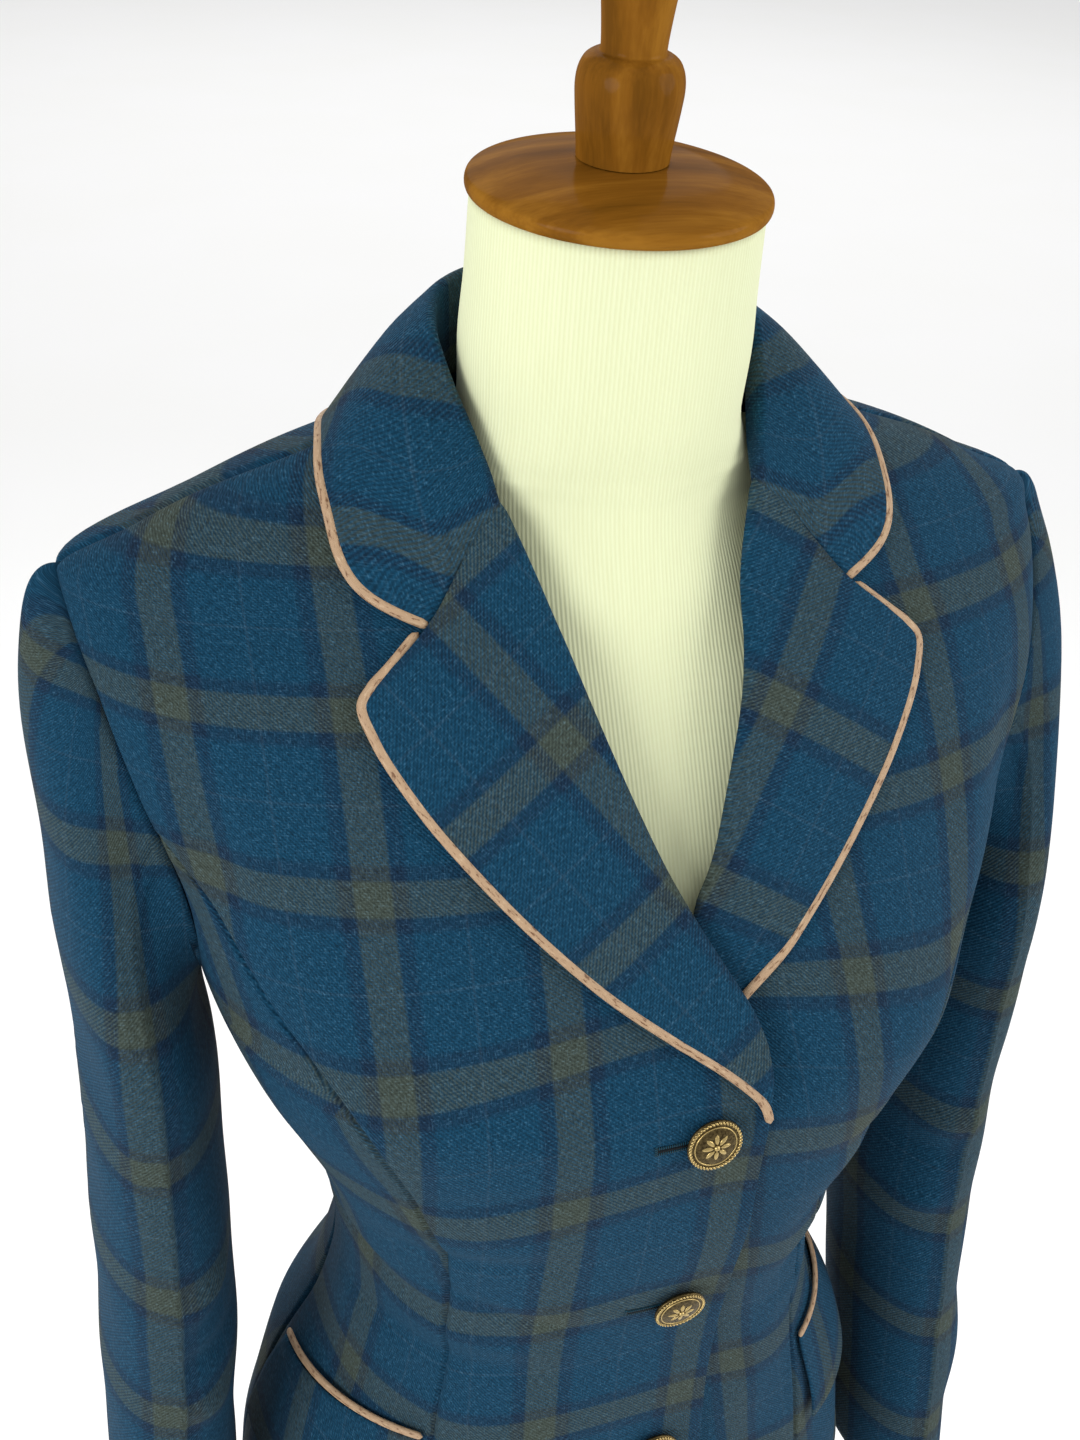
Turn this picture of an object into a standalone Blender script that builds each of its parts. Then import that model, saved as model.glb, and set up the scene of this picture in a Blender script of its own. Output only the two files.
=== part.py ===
"""A fitted hunt coat on a limbless dress form, in metres, +Z up, front towards -Y.

The origin is on the floor under the middle of the stand. The coat's outer face is one smooth
surface through level sections. A point on it is given by its turn, 0 degrees at the centre front,
90 at the side and 180 at the centre back, and by its drop below a level line through the collar.
"""

import math
from collections import namedtuple

import bpy
import numpy as np

# Driving sizes, in metres.
LEVEL_LINE_HEIGHT = 1.37
CLOTH = 0.002
LAPEL_CLOTH = 0.0016
SEAM_GAP = 0.0003
NECK_POINT_DROP = -0.016
SHOULDER_TIP_DROP = 0.045
ARMHOLE_BOTTOM_DROP = 0.222
PRINCESS_TOP_DROP = 0.128
BREAK_DROP = 0.212
FRONT_EXTENSION = 0.029
UNDER_EXTENSION = 0.020
BUTTON_LINE = 0.004
BUTTON_DROPS = (0.230, 0.338, 0.446)
PIPING_RADIUS = 0.002
SIDE_SEAM_TURN = 97.0
CUFF_DROP = 0.645
POLE_RADIUS = 0.016
BASE_RADIUS = 0.17
BASE_THICKNESS = 0.025
NECK_TILT = 5.0
NECK_BEND = (0.015, 0.060)
SMOOTH_ANGLE = 40.0

# Level sections of the coat's outer face. The front and back columns are depths from the middle
# plane, side_y is where the section is widest, and a higher power makes it squarer.
Section = namedtuple("Section", "drop half_width side_y front back power")
COAT_SECTIONS = (
    Section(-0.016, 0.070, 0.017, 0.012, 0.058, 2.00),
    Section(-0.002, 0.101, 0.018, 0.021, 0.067, 2.00),
    Section(0.012, 0.139, 0.020, 0.031, 0.076, 2.00),
    Section(0.028, 0.177, 0.021, 0.042, 0.085, 2.00),
    Section(0.045, 0.208, 0.022, 0.054, 0.092, 2.00),
    Section(0.060, 0.208, 0.018, 0.068, 0.098, 2.20),
    Section(0.080, 0.206, 0.012, 0.082, 0.104, 2.40),
    Section(0.110, 0.199, 0.004, 0.098, 0.108, 2.50),
    Section(0.150, 0.186, -0.004, 0.118, 0.109, 2.50),
    Section(0.190, 0.176, -0.010, 0.138, 0.105, 2.45),
    Section(0.235, 0.165, -0.014, 0.154, 0.099, 2.40),
    Section(0.280, 0.146, -0.018, 0.153, 0.092, 2.25),
    Section(0.330, 0.127, -0.022, 0.146, 0.082, 2.15),
    Section(0.385, 0.118, -0.024, 0.140, 0.076, 2.10),
    Section(0.440, 0.127, -0.022, 0.141, 0.086, 2.10),
    Section(0.500, 0.154, -0.018, 0.143, 0.103, 2.10),
    Section(0.580, 0.171, -0.014, 0.148, 0.116, 2.15),
    Section(0.660, 0.176, -0.012, 0.150, 0.118, 2.15),
)
# The form's sections inside it. The neck share is how much of a section's depth is in its neck.
FormSection = namedtuple("FormSection", Section._fields + ("neck_share",))
FORM_SECTIONS = (
    FormSection(-0.0885, 0.0540, 0.004, 0.0480, 0.0560, 2.00, 0.0),
    FormSection(-0.060, 0.0550, 0.006, 0.0465, 0.0555, 2.00, 0.0),
    FormSection(-0.036, 0.0565, 0.009, 0.0460, 0.0530, 2.00, 0.0),
    FormSection(-0.0145, 0.0560, 0.012, 0.0450, 0.0480, 2.00, 0.0),
    FormSection(-0.004, 0.0585, 0.015, 0.0435, 0.0490, 2.00, 0.0),
    FormSection(0.004, 0.0660, 0.018, 0.0425, 0.0510, 2.00, 0.3),
    FormSection(0.012, 0.1080, 0.020, 0.0425, 0.0550, 2.00, 0.6),
    FormSection(0.019, 0.1495, 0.0205, 0.0435, 0.0590, 2.00, 0.62),
    FormSection(0.030, 0.1610, 0.021, 0.0465, 0.0650, 2.00, 0.5),
    FormSection(0.045, 0.1660, 0.019, 0.0520, 0.0740, 2.00, 0.3),
    FormSection(0.065, 0.1680, 0.014, 0.0600, 0.0830, 2.00, 0.1),
    FormSection(0.080, 0.1690, 0.011, 0.0680, 0.0890, 2.00, 0.0),
    FormSection(0.110, 0.1690, 0.004, 0.0850, 0.0950, 2.20, 0.0),
    FormSection(0.150, 0.1640, -0.003, 0.1060, 0.0970, 2.30, 0.0),
    FormSection(0.190, 0.1560, -0.009, 0.1260, 0.0940, 2.35, 0.0),
    FormSection(0.235, 0.1460, -0.014, 0.1420, 0.0880, 2.35, 0.0),
    FormSection(0.280, 0.1290, -0.018, 0.1410, 0.0810, 2.20, 0.0),
    FormSection(0.330, 0.1100, -0.022, 0.1340, 0.0710, 2.15, 0.0),
    FormSection(0.385, 0.1020, -0.024, 0.1280, 0.0650, 2.10, 0.0),
    FormSection(0.440, 0.1120, -0.022, 0.1290, 0.0750, 2.10, 0.0),
    FormSection(0.500, 0.1400, -0.018, 0.1310, 0.0920, 2.10, 0.0),
    FormSection(0.580, 0.1590, -0.014, 0.1360, 0.1050, 2.15, 0.0),
    FormSection(0.665, 0.1640, -0.012, 0.1380, 0.1070, 2.15, 0.0),
    FormSection(0.683, 0.1610, -0.012, 0.1350, 0.1040, 2.15, 0.0),
    FormSection(0.690, 0.1520, -0.012, 0.1260, 0.0950, 2.15, 0.0),
)
FORM_NECK_HALF_WIDTH = 0.085
FORM_COLUMNS_ROUND = 32

# Seam lines. Across is the distance out from the centre front, seen from the front.
SeamPoint = namedtuple("SeamPoint", "drop across")
PRINCESS_SEAM = (
    SeamPoint(0.128, 0.1850),
    SeamPoint(0.150, 0.1700),
    SeamPoint(0.190, 0.1490),
    SeamPoint(0.230, 0.1230),
    SeamPoint(0.265, 0.1080),
    SeamPoint(0.320, 0.0910),
    SeamPoint(0.385, 0.0870),
    SeamPoint(0.445, 0.0930),
    SeamPoint(0.660, 0.1150),
)
ROLL_LINE = (
    SeamPoint(-0.016, 0.0625),
    SeamPoint(0.000, 0.0575),
    SeamPoint(0.017, 0.0520),
    SeamPoint(0.042, 0.0430),
    SeamPoint(0.080, 0.0310),
    SeamPoint(0.129, 0.0115),
    SeamPoint(0.150, 0.0000),
    SeamPoint(0.185, -0.0195),
    SeamPoint(0.212, -0.0290),
)
Armhole = namedtuple("Armhole", "drop front_turn back_turn")
ARMHOLE = (
    Armhole(0.045, 90.0, 90.0),
    Armhole(0.060, 82.0, 98.0),
    Armhole(0.085, 76.5, 103.0),
    Armhole(0.115, 74.5, 105.5),
    Armhole(0.150, 75.5, 106.0),
    Armhole(0.185, 80.0, 104.5),
    Armhole(0.210, 88.0, 101.0),
    Armhole(0.222, 97.0, 97.0),
)

# Lapel rows from the break up to the gorge: where the roll and the piped edge are.
LapelRow = namedtuple("LapelRow", "roll_across roll_drop edge_across edge_drop tucked")
LAPEL_TOP_ROWS = (
    LapelRow(0.0100, 0.1310, 0.0740, 0.1270, 0.0),
    LapelRow(0.0220, 0.1030, 0.0930, 0.1030, 0.0),
    LapelRow(0.0340, 0.0710, 0.1070, 0.0800, 0.0),
    LapelRow(0.0440, 0.0400, 0.1105, 0.0700, 0.0),
    LapelRow(0.0520, 0.0170, 0.1060, 0.0640, 0.0),
)
LAPEL_RIGHT_ROWS = (
    LapelRow(-0.0285, 0.2070, -0.0280, 0.2185, 0.0),
    LapelRow(-0.0252, 0.1985, -0.0140, 0.2055, 0.0),
    LapelRow(-0.0198, 0.1845, 0.0100, 0.1870, 0.0),
    LapelRow(-0.0100, 0.1675, 0.0330, 0.1690, 0.0),
    LapelRow(0.0000, 0.1500, 0.0560, 0.1470, 0.0),
) + LAPEL_TOP_ROWS
LAPEL_LEFT_ROWS = (
    LapelRow(0.0120, 0.1790, 0.0190, 0.1805, 1.0),
    LapelRow(0.0060, 0.1680, 0.0330, 0.1690, 1.0),
    LapelRow(0.0020, 0.1480, 0.0560, 0.1470, 1.0),
) + LAPEL_TOP_ROWS
PIPING_NOTCH_ACROSS = 0.087
LEFT_PIPING_START_ACROSS = 0.026

# Half of the collar, from the gorge to the centre back. The stand and roll are places relative to
# the middle of the level line, and the outer edge lies on the coat.
CollarRow = namedtuple("CollarRow", "stand roll edge_turn edge_drop")
COLLAR_ROWS = (
    CollarRow((0.0505, -0.0270, -0.0120), (0.0530, -0.0295, -0.0095), 23.5, 0.0440),
    CollarRow((0.0530, -0.0180, -0.0030), (0.0570, -0.0220, 0.0010), 32.5, 0.0365),
    CollarRow((0.0560, -0.0070, 0.0075), (0.0605, -0.0120, 0.0125), 39.0, 0.0260),
    CollarRow((0.0590, 0.0030, 0.0155), (0.0640, 0.0000, 0.0240), 51.0, 0.0135),
    CollarRow((0.0640, 0.0190, 0.0165), (0.0660, 0.0150, 0.0360), 90.0, 0.0010),
    CollarRow((0.0522, 0.0400, 0.0135), (0.0600, 0.0390, 0.0440), 120.0, 0.0035),
    CollarRow((0.0290, 0.0505, 0.0130), (0.0370, 0.0600, 0.0480), 150.0, 0.0070),
    CollarRow((0.0000, 0.0545, 0.0130), (0.0000, 0.0680, 0.0495), 180.0, 0.0100),
)
COLLAR_STEPS = 15
COLLAR_EDGE_LIFT = 0.0036
COLLAR_STAND_SHARE = 0.55
COLLAR_SWELL = 0.003
COLLAR_SWELL_STEPS = 6
# How far down the fall, and how much of the swell it has there.
COLLAR_FALL_POINTS = ((0.30, 1.0), (0.65, 0.8))
COLLAR_NOTCH_TRIM = 0.1

# Level sections of a hanging sleeve, below its head.
SleeveSection = namedtuple("SleeveSection", "drop centre_x centre_y half_x half_y")
SLEEVE_SECTIONS = (
    SleeveSection(0.255, 0.1970, -0.002, 0.0270, 0.068),
    SleeveSection(0.330, 0.1980, -0.006, 0.0285, 0.064),
    SleeveSection(0.420, 0.2010, -0.012, 0.0300, 0.058),
    SleeveSection(0.500, 0.2060, -0.022, 0.0290, 0.053),
    SleeveSection(0.580, 0.2100, -0.034, 0.0280, 0.050),
    SleeveSection(0.645, 0.2120, -0.045, 0.0275, 0.047),
)
SLEEVE_COLUMNS = 16
SLEEVE_LEVELS = 10
SLEEVE_CLEAR = 0.0021
SLEEVE_SEAM_TRIM = 0.0002
# The way the sleeve head leaves the top of the armhole and its bottom, and how full it is.
HEAD_LEAVES = np.array([0.075, 0.0, 0.008])
UNDERARM_LEAVES = np.array([0.35, 0.0, -1.0])
HANGS = np.array([0.0, 0.0, -1.0])
HEAD_FULLNESS = 1.1
HEAD_STEPS = (0.0, 0.07, 0.16, 0.28, 0.44, 0.64, 0.82)

# The pocket mouth slants down to the back, and the flap hangs from it.
FlapEnd = namedtuple("FlapEnd", "turn top_drop bottom_turn bottom_drop")
FLAP_FRONT = FlapEnd(48.5, 0.4495, 43.5, 0.504)
FLAP_BACK = FlapEnd(93.0, 0.4760, 93.0, 0.532)
FLAP_COLUMNS = 8
FLAP_ROWS = 4
FLAP_TOP_LIFT = 0.0019
FLAP_BOTTOM_LIFT = 0.0045
# The piped mouth: its rise over the flap, its height off the coat and its turns past the flap.
MOUTH_RISE = 0.0036
MOUTH_LIFT = 0.0029
MOUTH_PAST_FRONT = 0.6
MOUTH_PAST_BACK = 0.4
MOUTH_POINTS = 14

# Turned profiles: radius and height, from the lower end up.
BUTTON_PROFILE = (
    (0.0025, 0.0004), (0.0025, 0.0015), (0.0104, 0.0018), (0.0115, 0.0028), (0.0115, 0.0040),
    (0.0102, 0.0050), (0.0092, 0.0044), (0.0060, 0.0054),
)
BUTTON_CROWN = 0.0059
CAP_PROFILE = ((0.0530, 0.0), (0.0557, 0.0020), (0.0555, 0.0052), (0.0500, 0.0080), (0.0330, 0.0120))
CAP_CROWN = 0.0135
FINIAL_PROFILE = (
    (0.0150, 0.0), (0.0160, 0.0050), (0.0186, 0.0160), (0.0178, 0.0260), (0.0135, 0.0340),
    (0.0110, 0.0385), (0.0112, 0.0430), (0.0135, 0.0600), (0.0170, 0.0800), (0.0175, 0.0900),
    (0.0150, 0.1030), (0.0085, 0.1110),
)
FINIAL_CROWN = 0.1140
BASE_CHAMFER = 0.006
BUTTON_SEGMENTS = 18
CAP_SEGMENTS = 32
FINIAL_SEGMENTS = 20
POLE_SEGMENTS = 20
BASE_SEGMENTS = 36

LEFT, RIGHT = 1, -1
SIDES = ((LEFT, "left"), (RIGHT, "right"))

for old in list(bpy.data.objects):
    bpy.data.objects.remove(old, do_unlink=True)


def monotone_curve(knots, values):
    """A cubic through the knots that never swings past them, as a function of the knot value."""
    knots = np.asarray(knots, float)
    values = np.asarray(values, float)
    step = np.diff(knots)
    slope = np.diff(values) / step
    tangent = np.empty_like(values)
    tangent[0], tangent[-1] = slope[0], slope[-1]
    for i in range(1, len(values) - 1):
        before, after = slope[i - 1], slope[i]
        turns = before * after <= 0
        tangent[i] = 0.0 if turns else 2 * before * after / (before + after)

    def at(where):
        where = np.clip(np.asarray(where, float), knots[0], knots[-1])
        i = np.clip(np.searchsorted(knots, where, side="right") - 1, 0, len(step) - 1)
        s = (where - knots[i]) / step[i]
        rise = values[i] * (1 + 2 * s) * (1 - s) ** 2 + values[i + 1] * s**2 * (3 - 2 * s)
        return rise + step[i] * s * (1 - s) * (tangent[i] * (1 - s) - tangent[i + 1] * s)

    return at


def columns_of(rows):
    """One smooth curve for each column of a table, along its first column."""
    table = np.array(rows, float)
    return [monotone_curve(table[:, 0], table[:, k]) for k in range(1, table.shape[1])]


def smooth_step(low, high, value):
    s = np.clip((np.asarray(value, float) - low) / (high - low), 0.0, 1.0)
    return s * s * (3 - 2 * s)


COAT_COLUMNS = columns_of(COAT_SECTIONS)
FORM_COLUMNS = columns_of(FORM_SECTIONS)
ARMHOLE_FRONT, ARMHOLE_BACK = columns_of(ARMHOLE)
(PRINCESS_ACROSS,) = columns_of(PRINCESS_SEAM)
(ROLL_ACROSS,) = columns_of(ROLL_LINE)


def section_point(columns, turn, drop):
    """A point of the level section at this drop, as a place in the part's frame."""
    half_width, side_y, front, back, power, *shares = [column(drop) for column in columns]
    sine = np.sin(np.radians(turn))
    reach = np.clip(1 - np.abs(sine) ** power, 0, 1) ** (1 / power)
    for share in shares:
        neck = np.clip(1 - (half_width * sine / FORM_NECK_HALF_WIDTH) ** 2, 0, 1) ** 2
        reach = reach * (1 - share) + neck * share
    ahead = np.cos(np.radians(turn)) > 0
    y = np.where(ahead, side_y - (front + side_y) * reach, side_y + (back - side_y) * reach)
    return np.stack([half_width * sine, y, LEVEL_LINE_HEIGHT - drop + 0 * y], -1)


def coat_frame(turn, drop):
    """Points on the left half of the coat's outer face, and the way out of the cloth there."""
    turn, drop = np.broadcast_arrays(np.asarray(turn, float), np.asarray(drop, float))
    point = section_point(COAT_COLUMNS, turn, drop)
    near_turn, near_drop = 0.5, 0.0008
    along = section_point(COAT_COLUMNS, turn + near_turn, drop)
    along = along - section_point(COAT_COLUMNS, turn - near_turn, drop)
    high = np.clip(drop - near_drop, NECK_POINT_DROP, None)
    down = section_point(COAT_COLUMNS, turn, drop + near_drop) - section_point(COAT_COLUMNS, turn, high)
    out = np.cross(down, along)
    return point, out / np.linalg.norm(out, axis=-1, keepdims=True)


def turn_at(across, drop):
    """The turn of a point this far out from the centre front."""
    return np.degrees(np.arcsin(np.clip(across / COAT_COLUMNS[0](drop), -1, 1)))


def on_side(points, side):
    return points * np.array([side, 1.0, 1.0])


def grid_normals(grid, ring=False):
    """The way out of a sheet of points, from its rows and columns."""
    down = np.gradient(grid, axis=0)
    if ring:
        along = np.roll(grid, -1, axis=1) - np.roll(grid, 1, axis=1)
    else:
        along = np.gradient(grid, axis=1)
    out = np.cross(down, along)
    return out / np.linalg.norm(out, axis=-1, keepdims=True)


def new_object(name, mesh_points, faces, material, smooth=True):
    mesh = bpy.data.meshes.new(name)
    mesh.from_pydata([tuple(p) for p in mesh_points], [], [tuple(f) for f in faces])
    mesh.update()
    if smooth:
        mesh.shade_smooth()
        mesh.set_sharp_from_angle(angle=math.radians(SMOOTH_ANGLE))
    return place(bpy.data.objects.new(name, mesh), material)


def place(obj, material):
    obj.data.materials.append(material)
    bpy.context.scene.collection.objects.link(obj)
    obj.parent = ROOT
    return obj


def wall(name, outer, inner, side, material):
    """A closed cloth wall between two sheets of points with the same rows and columns."""
    outer, inner = on_side(outer, side), on_side(inner, side)
    rows, columns = outer.shape[:2]
    count = rows * columns
    index = np.arange(count).reshape(rows, columns)
    faces = []
    for i in range(rows - 1):
        for j in range(columns - 1):
            quad = (index[i, j], index[i + 1, j], index[i + 1, j + 1], index[i, j + 1])
            faces.append(quad)
            faces.append(tuple(k + count for k in reversed(quad)))
    border = list(index[0, :-1]) + list(index[:-1, -1])
    border += list(index[-1, :0:-1]) + list(index[:0:-1, 0])
    for a, b in zip(border, border[1:] + border[:1]):
        faces.append((a, b, b + count, a + count))
    if side == RIGHT:
        faces = [tuple(reversed(face)) for face in faces]
    points = np.concatenate([outer.reshape(-1, 3), inner.reshape(-1, 3)])
    return new_object(name, points, faces, material)


def tube(name, route, radius, material):
    """A round cord with closed ends along a route."""
    curve = bpy.data.curves.new(name, "CURVE")
    curve.dimensions = "3D"
    curve.bevel_depth = radius
    curve.bevel_resolution = 1
    curve.use_fill_caps = True
    spline = curve.splines.new("POLY")
    spline.points.add(len(route) - 1)
    for knot, place_at in zip(spline.points, route):
        knot.co = (*place_at, 1.0)
    return place(bpy.data.objects.new(name, curve), material)


def turned(name, profile, crown, segments, material):
    """A piece turned on the Z axis, flat below and closed by a crown above."""
    points, faces = [(0.0, 0.0, profile[0][1])], []
    angles = np.linspace(0, 2 * math.pi, segments, endpoint=False)
    for radius, height in profile:
        points += [(radius * math.cos(a), radius * math.sin(a), height) for a in angles]
    points.append((0.0, 0.0, crown))
    top = len(points) - 1
    last = 1 + (len(profile) - 1) * segments
    for k in range(segments):
        after = (k + 1) % segments
        faces.append((0, 1 + after, 1 + k))
        faces.append((top, last + k, last + after))
        for ring in range(len(profile) - 1):
            low = 1 + ring * segments
            faces.append((low + k, low + after, low + segments + after, low + segments + k))
    return new_object(name, points, faces, material)


def finish(name, colour, roughness, metallic=0.0):
    material = bpy.data.materials.new(name)
    material.use_nodes = True
    shader = material.node_tree.nodes["Principled BSDF"]
    shader.inputs["Base Color"].default_value = (*colour, 1.0)
    shader.inputs["Roughness"].default_value = roughness
    shader.inputs["Metallic"].default_value = metallic
    material.diffuse_color = (*colour, 1.0)
    return material


ROOT = bpy.data.objects.new("hunt_coat_on_form", None)
bpy.context.scene.collection.objects.link(ROOT)
PLAID = finish("plaid_wool", (0.02, 0.075, 0.13), 0.85)
PIPING = finish("cork_piping", (0.56, 0.33, 0.19), 0.7)
BRASS = finish("antique_brass", (0.30, 0.22, 0.09), 0.35, 1.0)
JERSEY = finish("cream_jersey", (0.78, 0.70, 0.55), 0.9)
WOOD = finish("stained_wood", (0.25, 0.10, 0.025), 0.35)


def front_edge_across(drop):
    """The right front's free edge: its roll line above the break, its straight edge below."""
    return np.where(np.asarray(drop) < BREAK_DROP, ROLL_ACROSS(drop), -FRONT_EXTENSION)


def under_right_front(across, drop):
    """How far a point of the left front lies under the right one, from 1 to 0."""
    near, far = 0.002, 0.036
    return 1 - smooth_step(near, far, across + front_edge_across(drop))


def left_front_lift(across, drop):
    deep, shallow = 0.0052, 0.0027
    deep_to, shallow_from = 0.19, 0.24
    depth = deep + (shallow - deep) * smooth_step(deep_to, shallow_from, drop)
    return -depth * under_right_front(across, drop)


def left_lapel_lift(across, drop):
    depth = 0.0072
    return -depth * under_right_front(across, drop)


def panel(name, side, drops, inner_turn, outer_turn, columns, lift=None, crowd=1.0):
    """A body panel between two seam lines, each given as a turn for every drop.

    A crowd above 1 draws its columns together towards the inner line.
    """
    drops = np.asarray(drops, float)
    inner_turn = np.asarray(inner_turn, float)
    outer_turn = np.asarray(outer_turn, float)
    nudge = 0.05
    turns = []
    for edge, way in ((inner_turn, 1), (outer_turn, -1)):
        moved = edge + way * nudge * np.sign(outer_turn - inner_turn)
        per_degree = np.linalg.norm(coat_frame(moved, drops)[0] - coat_frame(edge, drops)[0], axis=-1)
        turns.append(edge + (moved - edge) * (SEAM_GAP / 2) / per_degree)
    share = np.linspace(0, 1, columns) ** crowd
    turn = turns[0][:, None] * (1 - share) + turns[1][:, None] * share
    drop = np.repeat(drops[:, None], columns, axis=1)
    point, out = coat_frame(turn, drop)
    if lift is not None:
        point = point + out * lift(point[..., 0], drop)[..., None]
    if (outer_turn < inner_turn).all():
        point, out = point[:, ::-1], out[:, ::-1]
    return wall(name, point, point - out * CLOTH, side, PLAID)


SHOULDER_DROPS = [-0.016, -0.007, 0.003, 0.015, 0.030, 0.045]
CHEST_DROPS = [0.058, 0.075, 0.10, 0.128, 0.138, 0.155, 0.172, 0.190, 0.206, 0.222]
SKIRT_DROPS = [0.23, 0.24, 0.26, 0.285, 0.31, 0.335, 0.36, 0.385, 0.41, 0.44, 0.47, 0.50]
HEM_DROPS = [0.54, 0.58, 0.62, 0.66]
BODY_DROPS = np.array(SHOULDER_DROPS + CHEST_DROPS + SKIRT_DROPS + HEM_DROPS)
FRONT_COLUMNS, FRONT_CROWD = 8, 1.5
SIDE_FRONT_COLUMNS = 4
BACK_COLUMNS = 7
SHOULDER_TURN = 90.0
CENTRE_BACK_TURN = 180.0


def front_outer_turn(drop):
    """A front ends at the shoulder seam, then the armhole, then the princess seam."""
    turn = np.where(drop < SHOULDER_TIP_DROP, SHOULDER_TURN, ARMHOLE_FRONT(drop))
    return np.where(drop < PRINCESS_TOP_DROP, turn, turn_at(PRINCESS_ACROSS(drop), drop))


def build_body():
    side_drops = BODY_DROPS[BODY_DROPS > PRINCESS_TOP_DROP]
    for side, word in SIDES:
        if side == RIGHT:
            inner = front_edge_across(BODY_DROPS)
            lift = None
        else:
            inner = np.maximum(ROLL_ACROSS(BODY_DROPS), -UNDER_EXTENSION)
            lift = left_front_lift
        panel(f"front_{word}", side, BODY_DROPS, turn_at(inner, BODY_DROPS),
              front_outer_turn(BODY_DROPS), FRONT_COLUMNS, lift, FRONT_CROWD)
        princess = turn_at(PRINCESS_ACROSS(side_drops), side_drops)
        outer = np.where(side_drops < ARMHOLE_BOTTOM_DROP, ARMHOLE_FRONT(side_drops), SIDE_SEAM_TURN)
        panel(f"side_front_{word}", side, side_drops, princess, outer, SIDE_FRONT_COLUMNS)
        outer = np.where(BODY_DROPS < SHOULDER_TIP_DROP, SHOULDER_TURN, ARMHOLE_BACK(BODY_DROPS))
        middle = np.full(len(BODY_DROPS), CENTRE_BACK_TURN)
        panel(f"back_{word}", side, BODY_DROPS, outer, middle, BACK_COLUMNS)


def lapel_rows(rows, steps):
    """Rows of a lapel, smoothed between those of its table."""
    table = np.array(rows, float)
    spots = np.linspace(0, len(rows) - 1, steps)
    return np.stack([monotone_curve(np.arange(len(rows)), table[:, k])(spots) for k in range(5)], 1)


# The roll of a lapel: how far inside its line, and how far out of the cloth, where it is turned.
ROLL_TURN = ((-0.0016, -0.0010), (-0.0034, 0.0010), (-0.0026, 0.0030))
ROLL_FLAT = (-0.006, -0.004, -0.002)
LAPEL_SHARES = (0.0, 0.15, 0.35, 0.6, 0.82, 1.0)
LAPEL_LIFT = 0.0040
LAPEL_EDGE_LIFT = 0.0030
LAPEL_STEPS = 15
LAPEL_TIP_POINTS = 5


def lapel_height(share, across, drop, side):
    height = LAPEL_LIFT + (LAPEL_EDGE_LIFT - LAPEL_LIFT) * share
    return height + (left_lapel_lift(across, drop) if side == LEFT else 0.0)


def lapel_sheet(rows, side):
    """The middle of a lapel's cloth, from its roll to its piped edge."""
    sheet = []
    for roll_across, roll_drop, edge_across, edge_drop, tucked in rows:
        share = np.array(LAPEL_SHARES)
        across = roll_across + (edge_across - roll_across) * share
        drop = roll_drop + (edge_drop - roll_drop) * share
        point, out = coat_frame(turn_at(across, drop), drop)
        lifted = point + out * lapel_height(share, across, drop, side)[:, None]
        run = point[1] - point[0]
        run /= np.linalg.norm(run)
        base = lapel_height(0.0, roll_across, roll_drop, side)
        turn_points = []
        for (inside, height), flat in zip(ROLL_TURN, ROLL_FLAT):
            s = inside + (flat - inside) * tucked
            h = (height - LAPEL_LIFT) * (1 - tucked) + base
            turn_points.append(point[0] + run * s + out[0] * h)
        sheet.append(np.concatenate([turn_points, lifted]))
    return np.array(sheet)


def build_lapels():
    rows_of = {}
    gorge_gap = 0.0006
    for side, word in SIDES:
        rows = lapel_rows(LAPEL_LEFT_ROWS if side == LEFT else LAPEL_RIGHT_ROWS, LAPEL_STEPS)
        rows[-1, [1, 3]] += gorge_gap
        sheet = lapel_sheet(rows, side)[::-1]
        out = grid_normals(sheet)
        wall(f"lapel_{word}", sheet + out * LAPEL_CLOTH / 2, sheet - out * LAPEL_CLOTH / 2, side, PLAID)
        rows_of[side] = rows
    return rows_of


def lapel_piping_route(rows, side):
    """The piped edge of a lapel, from its lower end round the tip and back to the notch."""
    edge = [(row[2], row[3]) for row in rows]
    if side == LEFT:
        edge = [spot for spot in edge if spot[0] > LEFT_PIPING_START_ACROSS]
    top = rows[-1]
    for across in np.linspace(edge[-1][0], PIPING_NOTCH_ACROSS, LAPEL_TIP_POINTS)[1:]:
        share = (across - top[0]) / (top[2] - top[0])
        edge.append((across, top[1] + (top[3] - top[1]) * share))
    edge = np.array(edge)
    point, out = coat_frame(turn_at(edge[:, 0], edge[:, 1]), edge[:, 1])
    run = np.gradient(point, axis=0)
    away = np.cross(run, out)
    away /= np.linalg.norm(away, axis=-1, keepdims=True)
    height = np.full(len(edge), LAPEL_EDGE_LIFT)
    if side == LEFT:
        height += left_front_lift(edge[:, 0], edge[:, 1])
    clear = PIPING_RADIUS + 2 * SEAM_GAP
    return on_side(point + away * clear + out * height[:, None], side)


def collar_half(steps):
    """Stand, roll and outer edge of half the collar, from the gorge to the centre back."""
    spots = np.linspace(0, len(COLLAR_ROWS) - 1, steps)
    knots = np.arange(len(COLLAR_ROWS))
    middle = np.array([0, 0, LEVEL_LINE_HEIGHT])

    def smooth(values):
        return np.stack([monotone_curve(knots, column)(spots) for column in np.array(values, float).T], 1)

    stand = smooth([row.stand for row in COLLAR_ROWS]) + middle
    roll = smooth([row.roll for row in COLLAR_ROWS]) + middle
    edge = smooth([(row.edge_turn, row.edge_drop) for row in COLLAR_ROWS])
    point, out = coat_frame(edge[:, 0], edge[:, 1])
    return stand, roll, point + out * COLLAR_EDGE_LIFT, out


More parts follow.
